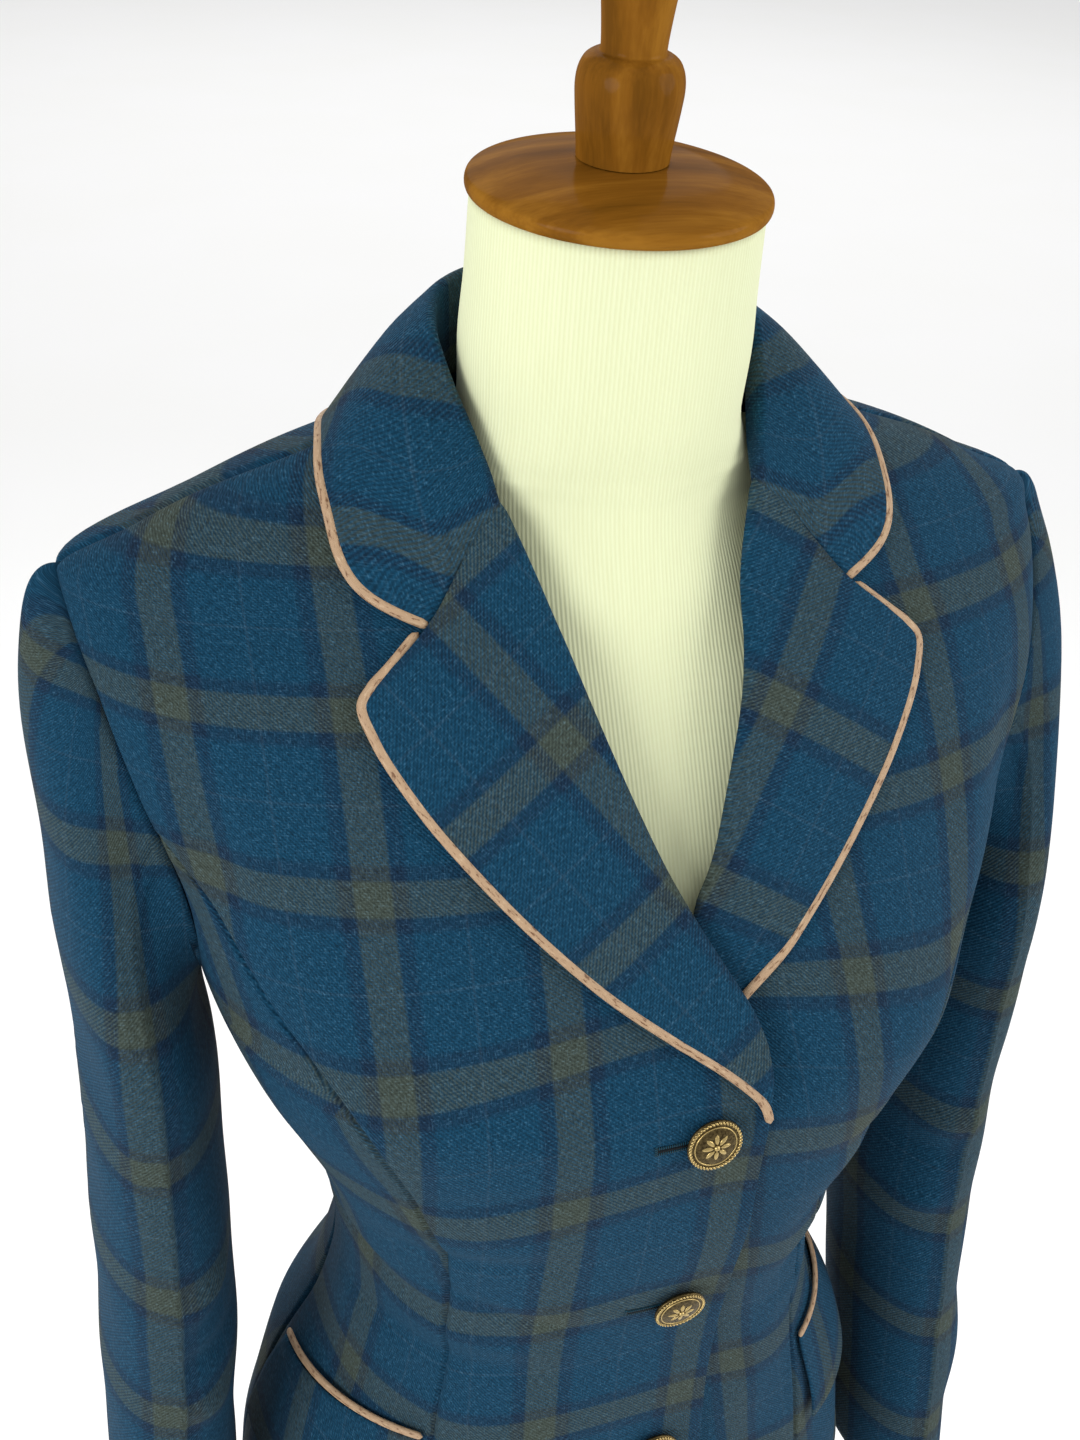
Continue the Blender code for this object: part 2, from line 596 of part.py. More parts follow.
def collar_section(stand, roll, edge, swell):
    """One cut through the collar: up the stand, over the roll and down the fall."""
    level = (edge - roll) * np.array([1, 1, 0])
    level /= np.linalg.norm(level)
    turn_half, turn_rise = 0.0022, 0.0012
    inside, outside = roll - level * turn_half, roll + level * turn_half
    crest = roll + np.array([0, 0, turn_rise])
    fall = edge - outside
    across = np.array([-level[1], level[0], 0])
    up = np.cross(fall, across)
    up *= np.sign(up[2]) / np.linalg.norm(up)
    middle = stand + (inside - stand) * COLLAR_STAND_SHARE
    folded = [outside + fall * along + up * swell * share for along, share in COLLAR_FALL_POINTS]
    return [stand, middle, inside, crest, outside, *folded, edge]


def build_collar():
    stand, roll, edge, out = collar_half(COLLAR_STEPS)
    swell = COLLAR_SWELL * smooth_step(0, COLLAR_SWELL_STEPS, np.arange(len(stand)))
    half = np.array([collar_section(*cut) for cut in zip(stand, roll, edge, swell)])
    sheet = np.concatenate([half, on_side(half, RIGHT)[-2::-1]])
    thick = grid_normals(sheet) * LAPEL_CLOTH / 2
    wall("collar", sheet + thick, sheet - thick, LEFT, PLAID)
    return edge, out


def collar_piping_route(edge, out):
    """The collar's piped outer edge, from one notch round the back to the other."""
    run = np.gradient(edge, axis=0)
    away = np.cross(run, out)
    away /= np.linalg.norm(away, axis=-1, keepdims=True)
    half = edge + away * (PIPING_RADIUS + SEAM_GAP)
    half[0] += (half[1] - half[0]) * COLLAR_NOTCH_TRIM
    return np.concatenate([half, on_side(half, RIGHT)[-2::-1]])


def sleeve_rings(columns):
    """Rings of the left sleeve: from the armhole over the head, then level sections to the cuff."""
    round_turn = np.arange(columns) * 360.0 / columns
    cosine, sine = np.cos(np.radians(round_turn)), np.sin(np.radians(round_turn))
    span = ARMHOLE_BOTTOM_DROP - SHOULDER_TIP_DROP
    drop = SHOULDER_TIP_DROP + span * (1 - cosine) / 2
    turn = np.where(round_turn <= 180, ARMHOLE_FRONT(drop), ARMHOLE_BACK(drop))
    start, _ = coat_frame(turn, drop)
    start = start + np.array([SLEEVE_CLEAR, 0, 0])
    centre_x, centre_y, half_x, half_y = columns_of(SLEEVE_SECTIONS)

    def section(at):
        x = centre_x(at) + half_x(at) * cosine
        y = centre_y(at) - half_y(at) * sine
        return np.stack([x, y, np.full(columns, LEVEL_LINE_HEIGHT - at)], 1)

    first = SLEEVE_SECTIONS[0].drop
    end = section(first)
    reach = np.linalg.norm(end - start, axis=1)[:, None]
    upper = ((1 + cosine) / 2)[:, None]
    full = reach * HEAD_FULLNESS
    leave = upper * HEAD_LEAVES + (1 - upper) * UNDERARM_LEAVES * full
    arrive = HANGS * full
    rings = []
    for s in HEAD_STEPS:
        ring = start * (1 + 2 * s) * (1 - s) ** 2 + end * s**2 * (3 - 2 * s)
        rings.append(ring + s * (1 - s) * (leave * (1 - s) - arrive * s))
    rings += [section(at) for at in np.linspace(first, CUFF_DROP, SLEEVE_LEVELS)]
    return np.array(rings)


def build_sleeves():
    columns = SLEEVE_COLUMNS
    quarter = columns // 4
    rings = sleeve_rings(columns)
    out = grid_normals(rings, ring=True)
    run = np.roll(rings, -1, axis=1) - np.roll(rings, 1, axis=1)
    run /= np.linalg.norm(run, axis=-1, keepdims=True)
    halves = {
        "sleeve_upper": np.arange(-quarter, quarter + 1) % columns,
        "sleeve_under": np.arange(quarter, 3 * quarter + 1),
    }
    for side, word in SIDES:
        for name, picked in halves.items():
            sheet, normal = rings[:, picked].copy(), out[:, picked]
            sheet[:, 0] += run[:, picked[0]] * SLEEVE_SEAM_TRIM
            sheet[:, -1] -= run[:, picked[-1]] * SLEEVE_SEAM_TRIM
            wall(f"{name}_{word}", sheet, sheet - normal * CLOTH, side, PLAID)


def build_pockets():
    share = np.linspace(0, 1, FLAP_COLUMNS)[None, :]
    depth = np.linspace(0, 1, FLAP_ROWS)[:, None]
    front, back = FLAP_FRONT, FLAP_BACK
    top_turn = front.turn + (back.turn - front.turn) * share
    low_turn = front.bottom_turn + (back.bottom_turn - front.bottom_turn) * share
    top_drop = front.top_drop + (back.top_drop - front.top_drop) * share
    low_drop = front.bottom_drop + (back.bottom_drop - front.bottom_drop) * share
    turn = top_turn + (low_turn - top_turn) * depth
    point, out = coat_frame(turn, top_drop + (low_drop - top_drop) * depth)
    lift = (FLAP_TOP_LIFT + (FLAP_BOTTOM_LIFT - FLAP_TOP_LIFT) * depth)[..., None]
    sheet = point + out * lift
    mouth_turn = np.linspace(front.turn - MOUTH_PAST_FRONT, back.turn + MOUTH_PAST_BACK, MOUTH_POINTS)
    mouth_drop = np.linspace(front.top_drop, back.top_drop, MOUTH_POINTS) - MOUTH_RISE
    mouth, mouth_out = coat_frame(mouth_turn, mouth_drop)
    mouth = mouth + mouth_out * MOUTH_LIFT
    for side, word in SIDES:
        thick = out * LAPEL_CLOTH / 2
        wall(f"pocket_flap_{word}", sheet + thick, sheet - thick, side, PLAID)
        tube(f"pocket_piping_{word}", on_side(mouth, side), PIPING_RADIUS, PIPING)


def build_buttons():
    for number, drop in enumerate(BUTTON_DROPS, 1):
        point, out = coat_frame(turn_at(-BUTTON_LINE, drop), drop)
        point, out = on_side(point, RIGHT), on_side(out, RIGHT)
        button = turned(f"button_{number}", BUTTON_PROFILE, BUTTON_CROWN, BUTTON_SEGMENTS, BRASS)
        button.location = tuple(point)
        tilt = math.acos(out[2])
        heading = math.atan2(out[1], out[0])
        button.rotation_euler = (0, tilt, heading)


def build_form():
    drops = [row.drop for row in FORM_SECTIONS]
    columns = FORM_COLUMNS_ROUND
    turns = np.arange(columns) * 360.0 / columns
    tilt_fade = smooth_step(*NECK_BEND, -np.array(drops))
    rings = []
    for drop, fade in zip(drops, tilt_fade):
        ring = section_point(FORM_COLUMNS, turns, np.full(columns, drop))
        ring[:, 2] += math.tan(math.radians(NECK_TILT)) * fade * (ring[:, 1] - FORM_SECTIONS[0].side_y)
        rings.append(ring)
    points = np.concatenate(rings)
    last = (len(rings) - 1) * columns
    faces = [tuple(range(columns)), tuple(range(last + columns - 1, last - 1, -1))]
    for i in range(len(rings) - 1):
        for k in range(columns):
            after = (k + 1) % columns
            low, high = (i + 1) * columns, i * columns
            faces.append((low + k, low + after, high + after, high + k))
    return new_object("form_torso", points, faces, JERSEY)


def build_stand():
    top = FORM_SECTIONS[0]
    neck_top = (0.0, top.side_y, LEVEL_LINE_HEIGHT - top.drop)
    lean = math.radians(NECK_TILT)
    cap = turned("neck_cap", CAP_PROFILE, CAP_CROWN, CAP_SEGMENTS, WOOD)
    finial = turned("finial", FINIAL_PROFILE, FINIAL_CROWN, FINIAL_SEGMENTS, WOOD)
    up = np.array([0, -math.sin(lean), math.cos(lean)])
    for piece, rise in ((cap, SEAM_GAP), (finial, CAP_CROWN + 2 * SEAM_GAP)):
        piece.location = tuple(np.array(neck_top) + up * rise)
        piece.rotation_euler = (lean, 0, 0)
    underside = LEVEL_LINE_HEIGHT - FORM_SECTIONS[-1].drop
    pole_foot = BASE_THICKNESS + SEAM_GAP
    pole_top = underside - SEAM_GAP
    turned("pole", ((POLE_RADIUS, pole_foot), (POLE_RADIUS, pole_top)), pole_top, POLE_SEGMENTS, WOOD)
    base_profile = (
        (BASE_RADIUS, 0.0), (BASE_RADIUS, BASE_THICKNESS - BASE_CHAMFER),
        (BASE_RADIUS - BASE_CHAMFER, BASE_THICKNESS),
    )
    turned("base", base_profile, BASE_THICKNESS, BASE_SEGMENTS, WOOD)


build_body()
LAPEL_ROWS = build_lapels()
for which, label in SIDES:
    route_of_edge = lapel_piping_route(LAPEL_ROWS[which], which)
    tube(f"lapel_piping_{label}", route_of_edge, PIPING_RADIUS, PIPING)
COLLAR_EDGE, COLLAR_OUT = build_collar()
tube("collar_piping", collar_piping_route(COLLAR_EDGE, COLLAR_OUT), PIPING_RADIUS, PIPING)
build_sleeves()
build_pockets()
build_buttons()
build_form()
build_stand()
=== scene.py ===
"""Looks of a fitted hunt coat on a limbless dress form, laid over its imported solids.

Units are metres, +Z is up and the coat's front faces -Y. A place on the coat is given by its turn,
0 degrees at the centre front, 90 at the side and 180 at the centre back, and by its drop below a
level line through the collar. Panels are worked out for the wearer's left and mirrored for the right.
"""

import math
from collections import namedtuple

import bpy
import numpy as np
from mathutils import Matrix, Vector


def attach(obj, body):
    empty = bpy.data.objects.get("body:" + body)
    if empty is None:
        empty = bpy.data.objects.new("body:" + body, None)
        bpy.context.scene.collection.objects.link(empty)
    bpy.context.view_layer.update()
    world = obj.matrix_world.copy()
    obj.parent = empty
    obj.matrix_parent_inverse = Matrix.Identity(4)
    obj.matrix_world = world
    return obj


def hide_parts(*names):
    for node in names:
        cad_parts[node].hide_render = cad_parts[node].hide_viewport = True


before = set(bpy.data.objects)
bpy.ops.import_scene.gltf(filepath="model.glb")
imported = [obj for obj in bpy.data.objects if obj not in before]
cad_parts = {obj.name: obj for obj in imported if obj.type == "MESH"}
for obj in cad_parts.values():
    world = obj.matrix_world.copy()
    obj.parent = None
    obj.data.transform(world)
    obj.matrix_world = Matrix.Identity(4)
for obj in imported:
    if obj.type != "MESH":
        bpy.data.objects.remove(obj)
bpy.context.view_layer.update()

bl_info = {
    "name": "Hunt coat on a dress form",
    "version": (1, 0, 0),
    "blender": (4, 5, 0),
    "location": "View3D > Sidebar > Hunt coat",
    "description": "Builds the cloth, trim, buttons and form of a plaid hunt coat",
    "category": "Object",
}

BODY = "root"
LOOK = "_look"
LEFT, RIGHT = 1, -1
SIDES = ((LEFT, "left"), (RIGHT, "right"))

# Sizes of the coat, as in its solids.
LEVEL_LINE_HEIGHT = 1.37
CLOTH = 0.002
LAPEL_CLOTH = 0.0016
SEAM_GAP = 0.0003
NECK_POINT_DROP = -0.016
SHOULDER_TIP_DROP = 0.045
ARMHOLE_BOTTOM_DROP = 0.222
PRINCESS_TOP_DROP = 0.128
WAIST_DROP = 0.385
HEM_DROP = 0.66
CUFF_DROP = 0.645
BREAK_DROP = 0.212
FRONT_EXTENSION = 0.029
UNDER_EXTENSION = 0.020
BUTTON_LINE = 0.004
BUTTON_DROPS = (0.230, 0.338, 0.446)
SIDE_SEAM_TURN = 97.0
SHOULDER_TURN = 90.0
CENTRE_BACK_TURN = 180.0
NECK_TILT = 5.0
NECK_BEND = (0.015, 0.060)
FORM_NECK_HALF_WIDTH = 0.085

Section = namedtuple("Section", "drop half_width side_y front back power")
COAT_SECTIONS = (
    Section(-0.016, 0.070, 0.017, 0.012, 0.058, 2.00),
    Section(-0.002, 0.101, 0.018, 0.021, 0.067, 2.00),
    Section(0.012, 0.139, 0.020, 0.031, 0.076, 2.00),
    Section(0.028, 0.177, 0.021, 0.042, 0.085, 2.00),
    Section(0.045, 0.208, 0.022, 0.054, 0.092, 2.00),
    Section(0.060, 0.208, 0.018, 0.068, 0.098, 2.20),
    Section(0.080, 0.206, 0.012, 0.082, 0.104, 2.40),
    Section(0.110, 0.199, 0.004, 0.098, 0.108, 2.50),
    Section(0.150, 0.186, -0.004, 0.118, 0.109, 2.50),
    Section(0.190, 0.176, -0.010, 0.138, 0.105, 2.45),
    Section(0.235, 0.165, -0.014, 0.154, 0.099, 2.40),
    Section(0.280, 0.146, -0.018, 0.153, 0.092, 2.25),
    Section(0.330, 0.127, -0.022, 0.146, 0.082, 2.15),
    Section(0.385, 0.118, -0.024, 0.140, 0.076, 2.10),
    Section(0.440, 0.127, -0.022, 0.141, 0.086, 2.10),
    Section(0.500, 0.154, -0.018, 0.143, 0.103, 2.10),
    Section(0.580, 0.171, -0.014, 0.148, 0.116, 2.15),
    Section(0.660, 0.176, -0.012, 0.150, 0.118, 2.15),
)
FormSection = namedtuple("FormSection", Section._fields + ("neck_share",))
FORM_SECTIONS = (
    FormSection(-0.0885, 0.0540, 0.004, 0.0480, 0.0560, 2.00, 0.0),
    FormSection(-0.060, 0.0550, 0.006, 0.0465, 0.0555, 2.00, 0.0),
    FormSection(-0.036, 0.0565, 0.009, 0.0460, 0.0530, 2.00, 0.0),
    FormSection(-0.0145, 0.0560, 0.012, 0.0450, 0.0480, 2.00, 0.0),
    FormSection(-0.004, 0.0585, 0.015, 0.0435, 0.0490, 2.00, 0.0),
    FormSection(0.004, 0.0660, 0.018, 0.0425, 0.0510, 2.00, 0.3),
    FormSection(0.012, 0.1080, 0.020, 0.0425, 0.0550, 2.00, 0.6),
    FormSection(0.019, 0.1495, 0.0205, 0.0435, 0.0590, 2.00, 0.62),
    FormSection(0.030, 0.1610, 0.021, 0.0465, 0.0650, 2.00, 0.5),
    FormSection(0.045, 0.1660, 0.019, 0.0520, 0.0740, 2.00, 0.3),
    FormSection(0.065, 0.1680, 0.014, 0.0600, 0.0830, 2.00, 0.1),
    FormSection(0.080, 0.1690, 0.011, 0.0680, 0.0890, 2.00, 0.0),
    FormSection(0.110, 0.1690, 0.004, 0.0850, 0.0950, 2.20, 0.0),
    FormSection(0.150, 0.1640, -0.003, 0.1060, 0.0970, 2.30, 0.0),
    FormSection(0.190, 0.1560, -0.009, 0.1260, 0.0940, 2.35, 0.0),
    FormSection(0.235, 0.1460, -0.014, 0.1420, 0.0880, 2.35, 0.0),
    FormSection(0.280, 0.1290, -0.018, 0.1410, 0.0810, 2.20, 0.0),
    FormSection(0.330, 0.1100, -0.022, 0.1340, 0.0710, 2.15, 0.0),
    FormSection(0.385, 0.1020, -0.024, 0.1280, 0.0650, 2.10, 0.0),
    FormSection(0.440, 0.1120, -0.022, 0.1290, 0.0750, 2.10, 0.0),
    FormSection(0.500, 0.1400, -0.018, 0.1310, 0.0920, 2.10, 0.0),
    FormSection(0.580, 0.1590, -0.014, 0.1360, 0.1050, 2.15, 0.0),
    FormSection(0.665, 0.1640, -0.012, 0.1380, 0.1070, 2.15, 0.0),
    FormSection(0.683, 0.1610, -0.012, 0.1350, 0.1040, 2.15, 0.0),
    FormSection(0.690, 0.1520, -0.012, 0.1260, 0.0950, 2.15, 0.0),
)

SeamPoint = namedtuple("SeamPoint", "drop across")
PRINCESS_SEAM = (
    SeamPoint(0.128, 0.1850),
    SeamPoint(0.150, 0.1700),
    SeamPoint(0.190, 0.1490),
    SeamPoint(0.230, 0.1230),
    SeamPoint(0.265, 0.1080),
    SeamPoint(0.320, 0.0910),
    SeamPoint(0.385, 0.0870),
    SeamPoint(0.445, 0.0930),
    SeamPoint(0.660, 0.1150),
)
ROLL_LINE = (
    SeamPoint(-0.016, 0.0625),
    SeamPoint(0.000, 0.0575),
    SeamPoint(0.017, 0.0520),
    SeamPoint(0.042, 0.0430),
    SeamPoint(0.080, 0.0310),
    SeamPoint(0.129, 0.0115),
    SeamPoint(0.150, 0.0000),
    SeamPoint(0.185, -0.0195),
    SeamPoint(0.212, -0.0290),
)
Armhole = namedtuple("Armhole", "drop front_turn back_turn")
ARMHOLE = (
    Armhole(0.045, 90.0, 90.0),
    Armhole(0.060, 82.0, 98.0),
    Armhole(0.085, 76.5, 103.0),
    Armhole(0.115, 74.5, 105.5),
    Armhole(0.150, 75.5, 106.0),
    Armhole(0.185, 80.0, 104.5),
    Armhole(0.210, 88.0, 101.0),
    Armhole(0.222, 97.0, 97.0),
)
LapelRow = namedtuple("LapelRow", "roll_across roll_drop edge_across edge_drop tucked bend")
LAPEL_TOP_ROWS = (
    LapelRow(0.0340, 0.0710, 0.1070, 0.0800, 0.0, 0.0),
    LapelRow(0.0440, 0.0400, 0.1105, 0.0700, 0.0, 0.0006),
    LapelRow(0.0520, 0.0170, 0.1060, 0.0640, 0.0, 0.0036),
)
LAPEL_RIGHT_ROWS = (
    LapelRow(-0.0285, 0.2070, -0.0280, 0.2185, 0.0, 0.0),
    LapelRow(-0.0252, 0.1985, -0.0140, 0.2055, 0.0, 0.0),
    LapelRow(-0.0198, 0.1845, 0.0100, 0.1870, 0.0, 0.0),
    LapelRow(-0.0100, 0.1675, 0.0330, 0.1690, 0.0, 0.0),
    LapelRow(0.0000, 0.1500, 0.0560, 0.1470, 0.0, 0.0),
    LapelRow(0.0100, 0.1310, 0.0740, 0.1270, 0.0, 0.0),
    LapelRow(0.0220, 0.1030, 0.0930, 0.1030, 0.0, 0.0),
) + LAPEL_TOP_ROWS
LAPEL_LEFT_ROWS = (
    LapelRow(0.0120, 0.1790, 0.0190, 0.1805, 1.0, 0.0),
    LapelRow(0.0085, 0.1680, 0.0330, 0.1690, 1.0, 0.0),
    LapelRow(0.0100, 0.1480, 0.0560, 0.1470, 0.7, 0.0),
    LapelRow(0.0165, 0.1310, 0.0740, 0.1270, 0.0, 0.0),
    LapelRow(0.0265, 0.1030, 0.0930, 0.1030, 0.0, 0.0),
    LapelRow(0.0370, 0.0710, 0.1070, 0.0800, 0.0, 0.0),
) + LAPEL_TOP_ROWS[1:]
# How far the left front stands back from the roll line of the right one.
LEFT_SET_BACK = (
    SeamPoint(-0.016, 0.0), SeamPoint(0.040, 0.0), SeamPoint(0.071, 0.0022), SeamPoint(0.103, 0.0036),
    SeamPoint(0.131, 0.0056), SeamPoint(0.148, 0.0072), SeamPoint(0.165, 0.0072), SeamPoint(0.190, 0.0),
    SeamPoint(0.660, 0.0),
)
NOTCH_BEND = ((0.0, 0.6, 1.0), (0.0, 1.0, 0.0))
PIPING_HOOK = ((-0.0292, 0.2268), (-0.0290, 0.2225))
PIPING_HOOK_POINTS, PIPING_HOOK_PASSES = 6, 4
PIPING_NOTCH_POINTS = 9
PIPING_SPACING, PIPING_TAPER, PIPING_SNUG = 0.0015, 0.003, 0.0013
PIPING_NOTCH_ACROSS = 0.087
LEFT_PIPING_START_ACROSS = 0.018
ROLL_TURN = ((-0.0016, -0.0010), (-0.0034, 0.0010), (-0.0026, 0.0030))
ROLL_FLAT = (-0.006, -0.004, -0.002)
LAPEL_SHARES = (0.0, 0.15, 0.35, 0.6, 0.82, 1.0)
LAPEL_LIFT = 0.0040
LAPEL_EDGE_LIFT = 0.0030
LAPEL_BELLY = 0.0014
GORGE_GAP = 0.0003

CollarRow = namedtuple("CollarRow", "stand roll edge_turn edge_drop")
COLLAR_ROWS = (
    CollarRow((0.0512, -0.0295, -0.0140), (0.0527, -0.0315, -0.0125), 23.5, 0.0475),
    CollarRow((0.0530, -0.0180, -0.0030), (0.0570, -0.0220, 0.0010), 32.5, 0.0366),
    CollarRow((0.0560, -0.0070, 0.0075), (0.0605, -0.0120, 0.0125), 39.0, 0.0272),
    CollarRow((0.0590, 0.0030, 0.0155), (0.0640, 0.0000, 0.0240), 51.0, 0.0131),
    CollarRow((0.0640, 0.0190, 0.0165), (0.0660, 0.0150, 0.0360), 90.0, -0.0002),
    CollarRow((0.0522, 0.0400, 0.0135), (0.0600, 0.0390, 0.0440), 120.0, 0.0022),
    CollarRow((0.0290, 0.0505, 0.0130), (0.0370, 0.0600, 0.0480), 150.0, 0.0064),
    CollarRow((0.0000, 0.0545, 0.0130), (0.0000, 0.0680, 0.0495), 180.0, 0.0100),
)
COLLAR_EDGE_LIFT = 0.0036
COLLAR_EDGE_PASSES = 60
COLLAR_STAND_SHARE = 0.55
COLLAR_END_FOLD = 0.35
COLLAR_END_SHARE = 0.12
COLLAR_SWELL = 0.003
COLLAR_SWELL_SHARE = 0.43
COLLAR_TURN_HALF, COLLAR_TURN_RISE = 0.0022, 0.0012
COLLAR_FALL_POINTS = ((0.30, 1.0), (0.65, 0.8))

SleeveSection = namedtuple("SleeveSection", "drop centre_x centre_y half_x half_y")
SLEEVE_SECTIONS = (
    SleeveSection(0.255, 0.1970, -0.002, 0.0270, 0.068),
    SleeveSection(0.330, 0.1980, -0.006, 0.0285, 0.064),
    SleeveSection(0.420, 0.2010, -0.012, 0.0300, 0.058),
    SleeveSection(0.500, 0.2060, -0.022, 0.0290, 0.053),
    SleeveSection(0.580, 0.2100, -0.034, 0.0280, 0.050),
    SleeveSection(0.645, 0.2120, -0.045, 0.0275, 0.047),
)
SLEEVE_CLEAR = 0.0021
SLEEVE_TUCK = 0.0012
HEAD_LEAVES = np.array([0.075, 0.0, -0.004])
UNDERARM_LEAVES = np.array([0.35, 0.0, -1.0])
HANGS = np.array([0.0, 0.0, -1.0])
HEAD_FULLNESS = 1.1
HEAD_LINES_CLOSER = 1.3

FlapEnd = namedtuple("FlapEnd", "turn top_drop bottom_turn bottom_drop")
FLAP_FRONT = FlapEnd(48.5, 0.4495, 43.5, 0.504)
FLAP_BACK = FlapEnd(93.0, 0.4760, 93.0, 0.532)
FLAP_TOP_LIFT = 0.0019
FLAP_BOTTOM_LIFT = 0.0045
MOUTH_RISE = 0.0036
MOUTH_LIFT = 0.0029
MOUTH_PAST_FRONT = 0.6
MOUTH_PAST_BACK = 0.4
MOUTH_POINTS = 40

# A worked buttonhole, across and down from its button's middle. Its slit is a dark cord of painted shade.
HOLE_START, HOLE_END, HOLE_HALF, HOLE_LIFT = -0.0190, 0.0060, 0.0012, 0.0003
HOLE_ROW_WIDTH, HOLE_ROW_HEIGHT, HOLE_SLIT_WIDTH = 0.0012, 0.0008, 0.0015
HOLE_BAR_WIDTH, HOLE_BAR_HALF = 0.0014, 0.0023
HOLE_ROW_POINTS, HOLE_BAR_POINTS = 40, 12

# Turned profiles: radius and height, from the lower end up.
BUTTON_PROFILE = (
    (0.0025, 0.0004), (0.0025, 0.0015), (0.0104, 0.0018), (0.0114, 0.0028), (0.0114, 0.0036),
    (0.0104, 0.0043), (0.0094, 0.0041), (0.0078, 0.0047), (0.0050, 0.0052), (0.0020, 0.0054),
)
ROPE_STRANDS, ROPE_RADIUS, ROPE_HEIGHT, ROPE_TWIST = 44, 0.01065, 0.00425, -38.0
BEAD_RADIUS, BEAD_STRETCH = 0.0005, (1.0, 2.1, 0.9)
RING_RADIUS, RING_THICKNESS, RING_HEIGHT = 0.0088, 0.0003, 0.00435
LEAVES, ROSETTE_RADIUS, ROSETTE_HEIGHT, LEAF_PITCH = 8, 0.0038, 0.0052, 7.0
LEAF_RADIUS, LEAF_STRETCH = 0.001, (2.2, 1.0, 0.5)
LEAF_POINT_FROM, LEAF_POINT_DRAW = 0.0017, (1.12, 0.45, 1.0)
ROSETTE_EYE, ROSETTE_EYE_HEIGHT = 0.0013, 0.0053
BRASS_FIELD, BRASS_RAISED = 0.12, 1.0
BUTTON_SMOOTH_ANGLE = 50.0
BEAD_SEGMENTS, BEAD_RINGS = 10, 6
LEAF_SEGMENTS, LEAF_RINGS = 14, 8
RING_SEGMENTS, RING_SIDES = 64, 8
EYE_SEGMENTS, EYE_RINGS = 16, 10
CAP_PROFILE = (
    (0.0530, 0.0), (0.0549, 0.0005), (0.0557, 0.0020), (0.0557, 0.0040), (0.0550, 0.0055),
    (0.0530, 0.0066), (0.0450, 0.0092), (0.0330, 0.0118), (0.0200, 0.0130), (0.0170, 0.0134),
)
FINIAL_PROFILE = (
    (0.0168, 0.0), (0.0171, 0.0040), (0.0178, 0.0100), (0.0187, 0.0180), (0.0192, 0.0245),
    (0.0186, 0.0295), (0.0168, 0.0333), (0.0142, 0.0352), (0.0119, 0.0359), (0.0115, 0.0370),
    (0.0118, 0.0420), (0.0126, 0.0500), (0.0138, 0.0600), (0.0156, 0.0750), (0.0170, 0.0880),
    (0.0150, 0.1030), (0.0085, 0.1110), (0.0020, 0.1138),
)
POLE_RADIUS = 0.016
# The pole's own collar: shares of its radius, and heights above its foot.
POLE_COLLAR = ((1.35, 0.0), (1.35, 0.0084), (1.1, 0.0120), (1.0, 0.0168))
BASE_PROFILE = (
    (0.1690, 0.0), (0.1700, 0.0012), (0.1700, 0.0170), (0.1690, 0.0195), (0.1640, 0.0250),
    (0.0300, 0.0250),
)
BASE_THICKNESS = 0.025
CAP_CROWN = 0.0135
BUTTON_POINTS, BUTTON_SEGMENTS = 34, 72
CAP_POINTS, CAP_SEGMENTS = 40, 128
FINIAL_POINTS, FINIAL_SEGMENTS = 110, 96
BASE_POINTS, BASE_SEGMENTS = 26, 144
POLE_SEGMENTS = 64
TURNED_SMOOTH_ANGLE = 35.0
UP_GRAIN, LEVEL_GRAIN = (1.0, 1.0, 0.07), (0.07, 1.0, 1.0)

# The height at the centre front of each level stripe of the plaid, and how far they sink to the side.
STRIPE_DROPS = (
    -0.045, 0.0200, 0.0665, 0.1250, 0.1800, 0.2455, 0.3250, 0.4050, 0.4850, 0.5650, 0.6450, 0.725)
STRIPE_SINK = 0.030
STRIPE_SINK_DROPS = (0.10, 0.25)
STRIPE_SINK_TURN = 50.0
STRIPE_LOWER = {RIGHT: 0.005, LEFT: -0.006}
# Where an upright stripe runs on each cut piece, from the piece's own grain line.
RIGHT_FRONT_STRIPE = -0.1165
LEFT_FRONT_STRIPE = 0.068
LEFT_FRONT_LEAN = 0.17
LEFT_FRONT_LEAN_DROP = 0.15
LAPEL_RIGHT_STRIPE = (0.0436, 0.0575)
LAPEL_LEFT_STRIPE = (0.0468, 0.050)
COLLAR_STRIPE = (0.036, 0.014)
COLLAR_FALL = 0.055
# The collar's long stripe runs straight, so it leaves the curved edge towards the notch.
COLLAR_STRAY, COLLAR_STRAY_FROM = 0.16, 0.08
COLLAR_EDGE_STRAY, COLLAR_EDGE_STRAY_FROM, COLLAR_EDGE_STRAY_FALL = 0.24, 0.10, 0.07
# The collar is cut with its cross stripes leaning forward, more so where it ends at the roll.
COLLAR_LEAN = 0.40
COLLAR_LEAN_ALONG = (0.0, 0.06)
COLLAR_END_LEAN = 0.016
COLLAR_END_LEAN_ALONG = (0.08, 0.20)
COLLAR_END_LEAN_FALL = (0.020, 0.048)
SLEEVE_STRIPE = 0.060

